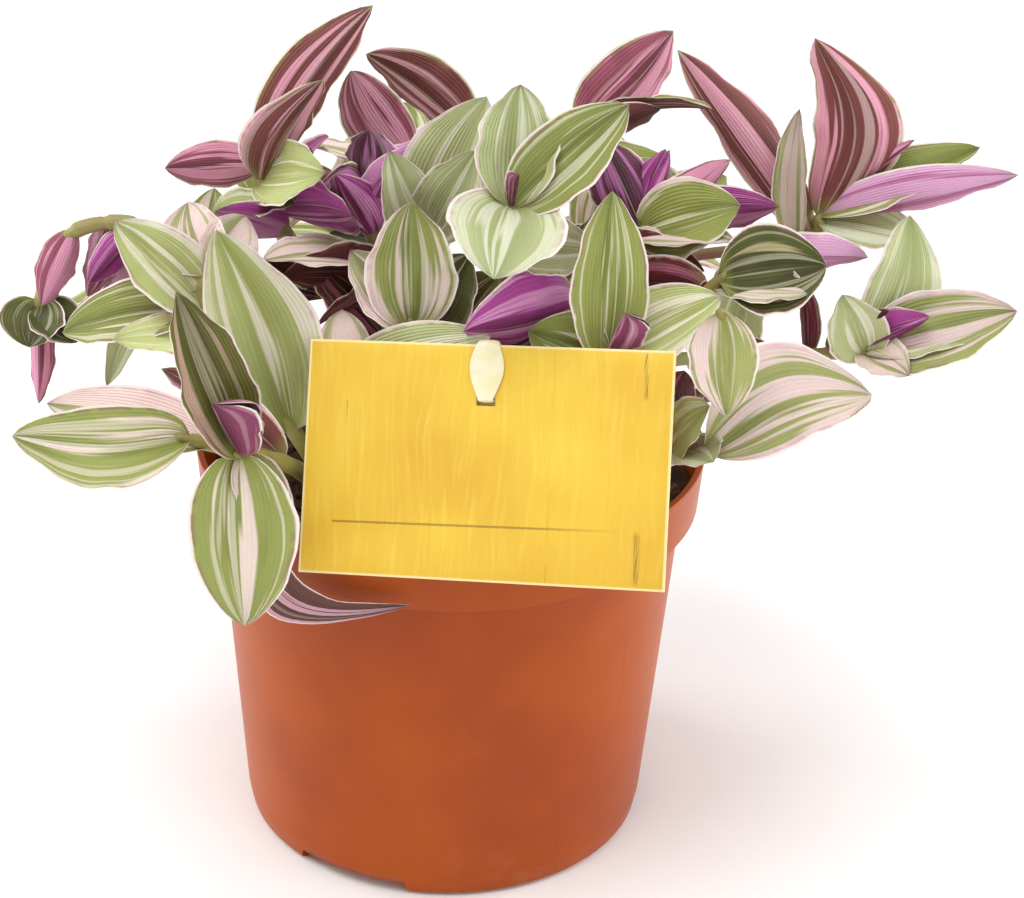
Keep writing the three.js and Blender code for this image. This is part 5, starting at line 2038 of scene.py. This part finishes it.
    def add_stake(self, piece: Piece) -> None:
        """Adds the stake, upright behind the card, with its foot drawn in to a point.

        Args:
            piece: The tie.
        """
        bm = piece.bm
        behind = self.thickness / 2 + self.gap + self.tie_thickness + self.stake_gap
        top = self.placed() @ metres((self.slot_x, behind, self.slot_z + self.stake_head))
        turn = Matrix.Rotation(math.radians(self.turn), 4, "Z")
        tall = top.z / MM - self.stake_foot
        middle = Matrix.Translation(Vector((top.x, top.y, (self.stake_foot + tall / 2) * MM)))
        size = Matrix.Diagonal((*metres((self.stake_width, self.stake_thickness, tall)), 1))
        stake = bmesh.ops.create_cube(bm, size=1, matrix=middle @ turn @ size)["verts"]
        edges = list({e for v in stake for e in v.link_edges})
        faces = list({f for v in stake for f in v.link_faces})
        shoulder = metres((0, 0, self.stake_foot + self.stake_point))
        bmesh.ops.bisect_plane(bm, geom=stake + edges + faces, plane_co=shoulder, plane_no=(0, 0, 1))
        for v in bm.verts:
            if v.co.z < (self.stake_foot + 0.1) * MM:
                v.co.xy = top.xy + (v.co.xy - top.xy) * self.stake_tip


# ---------------------------------------------------------------- studio


@dataclass
class Studio:
    """Floor, light and camera.

    Attributes:
        eye: The camera's place.
        ahead: The way that it looks.
        upward: The way that is up in the picture.
        lens: Its focal length, on a sensor 36 mm wide.
        floor: Half the floor's width, in metres.
        sky: Strength of the light from all round.
        aim: Height that the lamps face, in metres.
        lamps: Name, place in metres, size in metres and power in watts of each soft box.
    """

    eye: Point = (0, -555.73, 379.36)
    ahead: Point = (0.02305, 0.88995, -0.45547)
    upward: Point = (-0.02259, 0.45594, 0.88972)
    lens: float = 92.53
    floor: float = 6.0
    sky: float = 0.66
    aim: float = 0.1
    lamps: tuple[tuple[str, Point, tuple[float, float], float], ...] = (
        ("key", (-0.5, -0.5, 1.9), (1.3, 1.3), 22.0),
        ("fill", (0.9, -0.7, 0.7), (0.9, 0.9), 2.6),
        ("left_edge", (-0.9, 0.25, 0.3), (0.4, 0.8), 5.4),
        ("right_edge", (0.9, 0.25, 0.3), (0.4, 0.8), 5.4),
    )

    def camera(self) -> None:
        """Sets the camera at the photograph's viewpoint."""
        data = bpy.data.cameras.new("studio_camera")
        data.sensor_width = 36
        data.lens = self.lens
        data.clip_start = 0.05
        camera = bpy.data.objects.new("studio_camera", data)
        back = -Vector(self.ahead).normalized()
        right = Vector(self.upward).cross(back).normalized()
        up = back.cross(right)
        turn = Matrix((right, up, back)).transposed().to_4x4()
        camera.matrix_world = Matrix.Translation(metres(self.eye)) @ turn
        bpy.context.scene.collection.objects.link(camera)
        bpy.context.scene.camera = camera

    def lamp(self, name: str, place: Point, size: tuple[float, float], watts: float) -> None:
        """Hangs a soft box that faces the plant.

        Args:
            name: Its name.
            place: Where, in metres.
            size: Its width and height, in metres.
            watts: Its power.
        """
        data = bpy.data.lights.new(name, "AREA")
        data.shape = "RECTANGLE"
        data.size, data.size_y = size
        data.energy = watts
        lamp = bpy.data.objects.new(name, data)
        lamp.location = place
        away = Vector(place) - Vector((0, 0, self.aim))
        lamp.rotation_euler = away.to_track_quat("Z", "Y").to_euler()
        bpy.context.scene.collection.objects.link(lamp)

    def build(self, floor_finish: bpy.types.Material) -> None:
        """Makes the floor and the light.

        Args:
            floor_finish: The floor's material.
        """
        scene = bpy.context.scene
        bm = bmesh.new()
        bmesh.ops.create_grid(bm, x_segments=8, y_segments=8, size=self.floor)
        mesh = bpy.data.meshes.new("studio_floor")
        bm.to_mesh(mesh)
        bm.free()
        mesh.materials.append(floor_finish)
        floor = bpy.data.objects.new("studio_floor", mesh)
        scene.collection.objects.link(floor)
        world = bpy.data.worlds.new("studio_world")
        world.use_nodes = True
        light = world.node_tree.nodes["Background"].inputs
        light["Color"].default_value = (1.0, 1.0, 1.0, 1.0)
        light["Strength"].default_value = self.sky
        scene.world = world
        scene.view_settings.view_transform = "Standard"
        for lamp in self.lamps:
            self.lamp(*lamp)


def main() -> None:
    """Builds the plant, its pot, the card and the studio."""
    logging.basicConfig(level=logging.INFO, format="%(message)s")
    studio = Studio()
    studio.camera()
    studio.build(StudioFinish().make())
    pot = Pot()
    pot.build(PotFinish().make())
    Soil(pot).build(SoilFinish().make())
    card = Card()
    card.build(CardFinish().make())
    card.build_tie(TieFinish().make())
    Foliage().build(LeafFinish().make(), StemFinish().make())


if __name__ == "__main__":
    main()
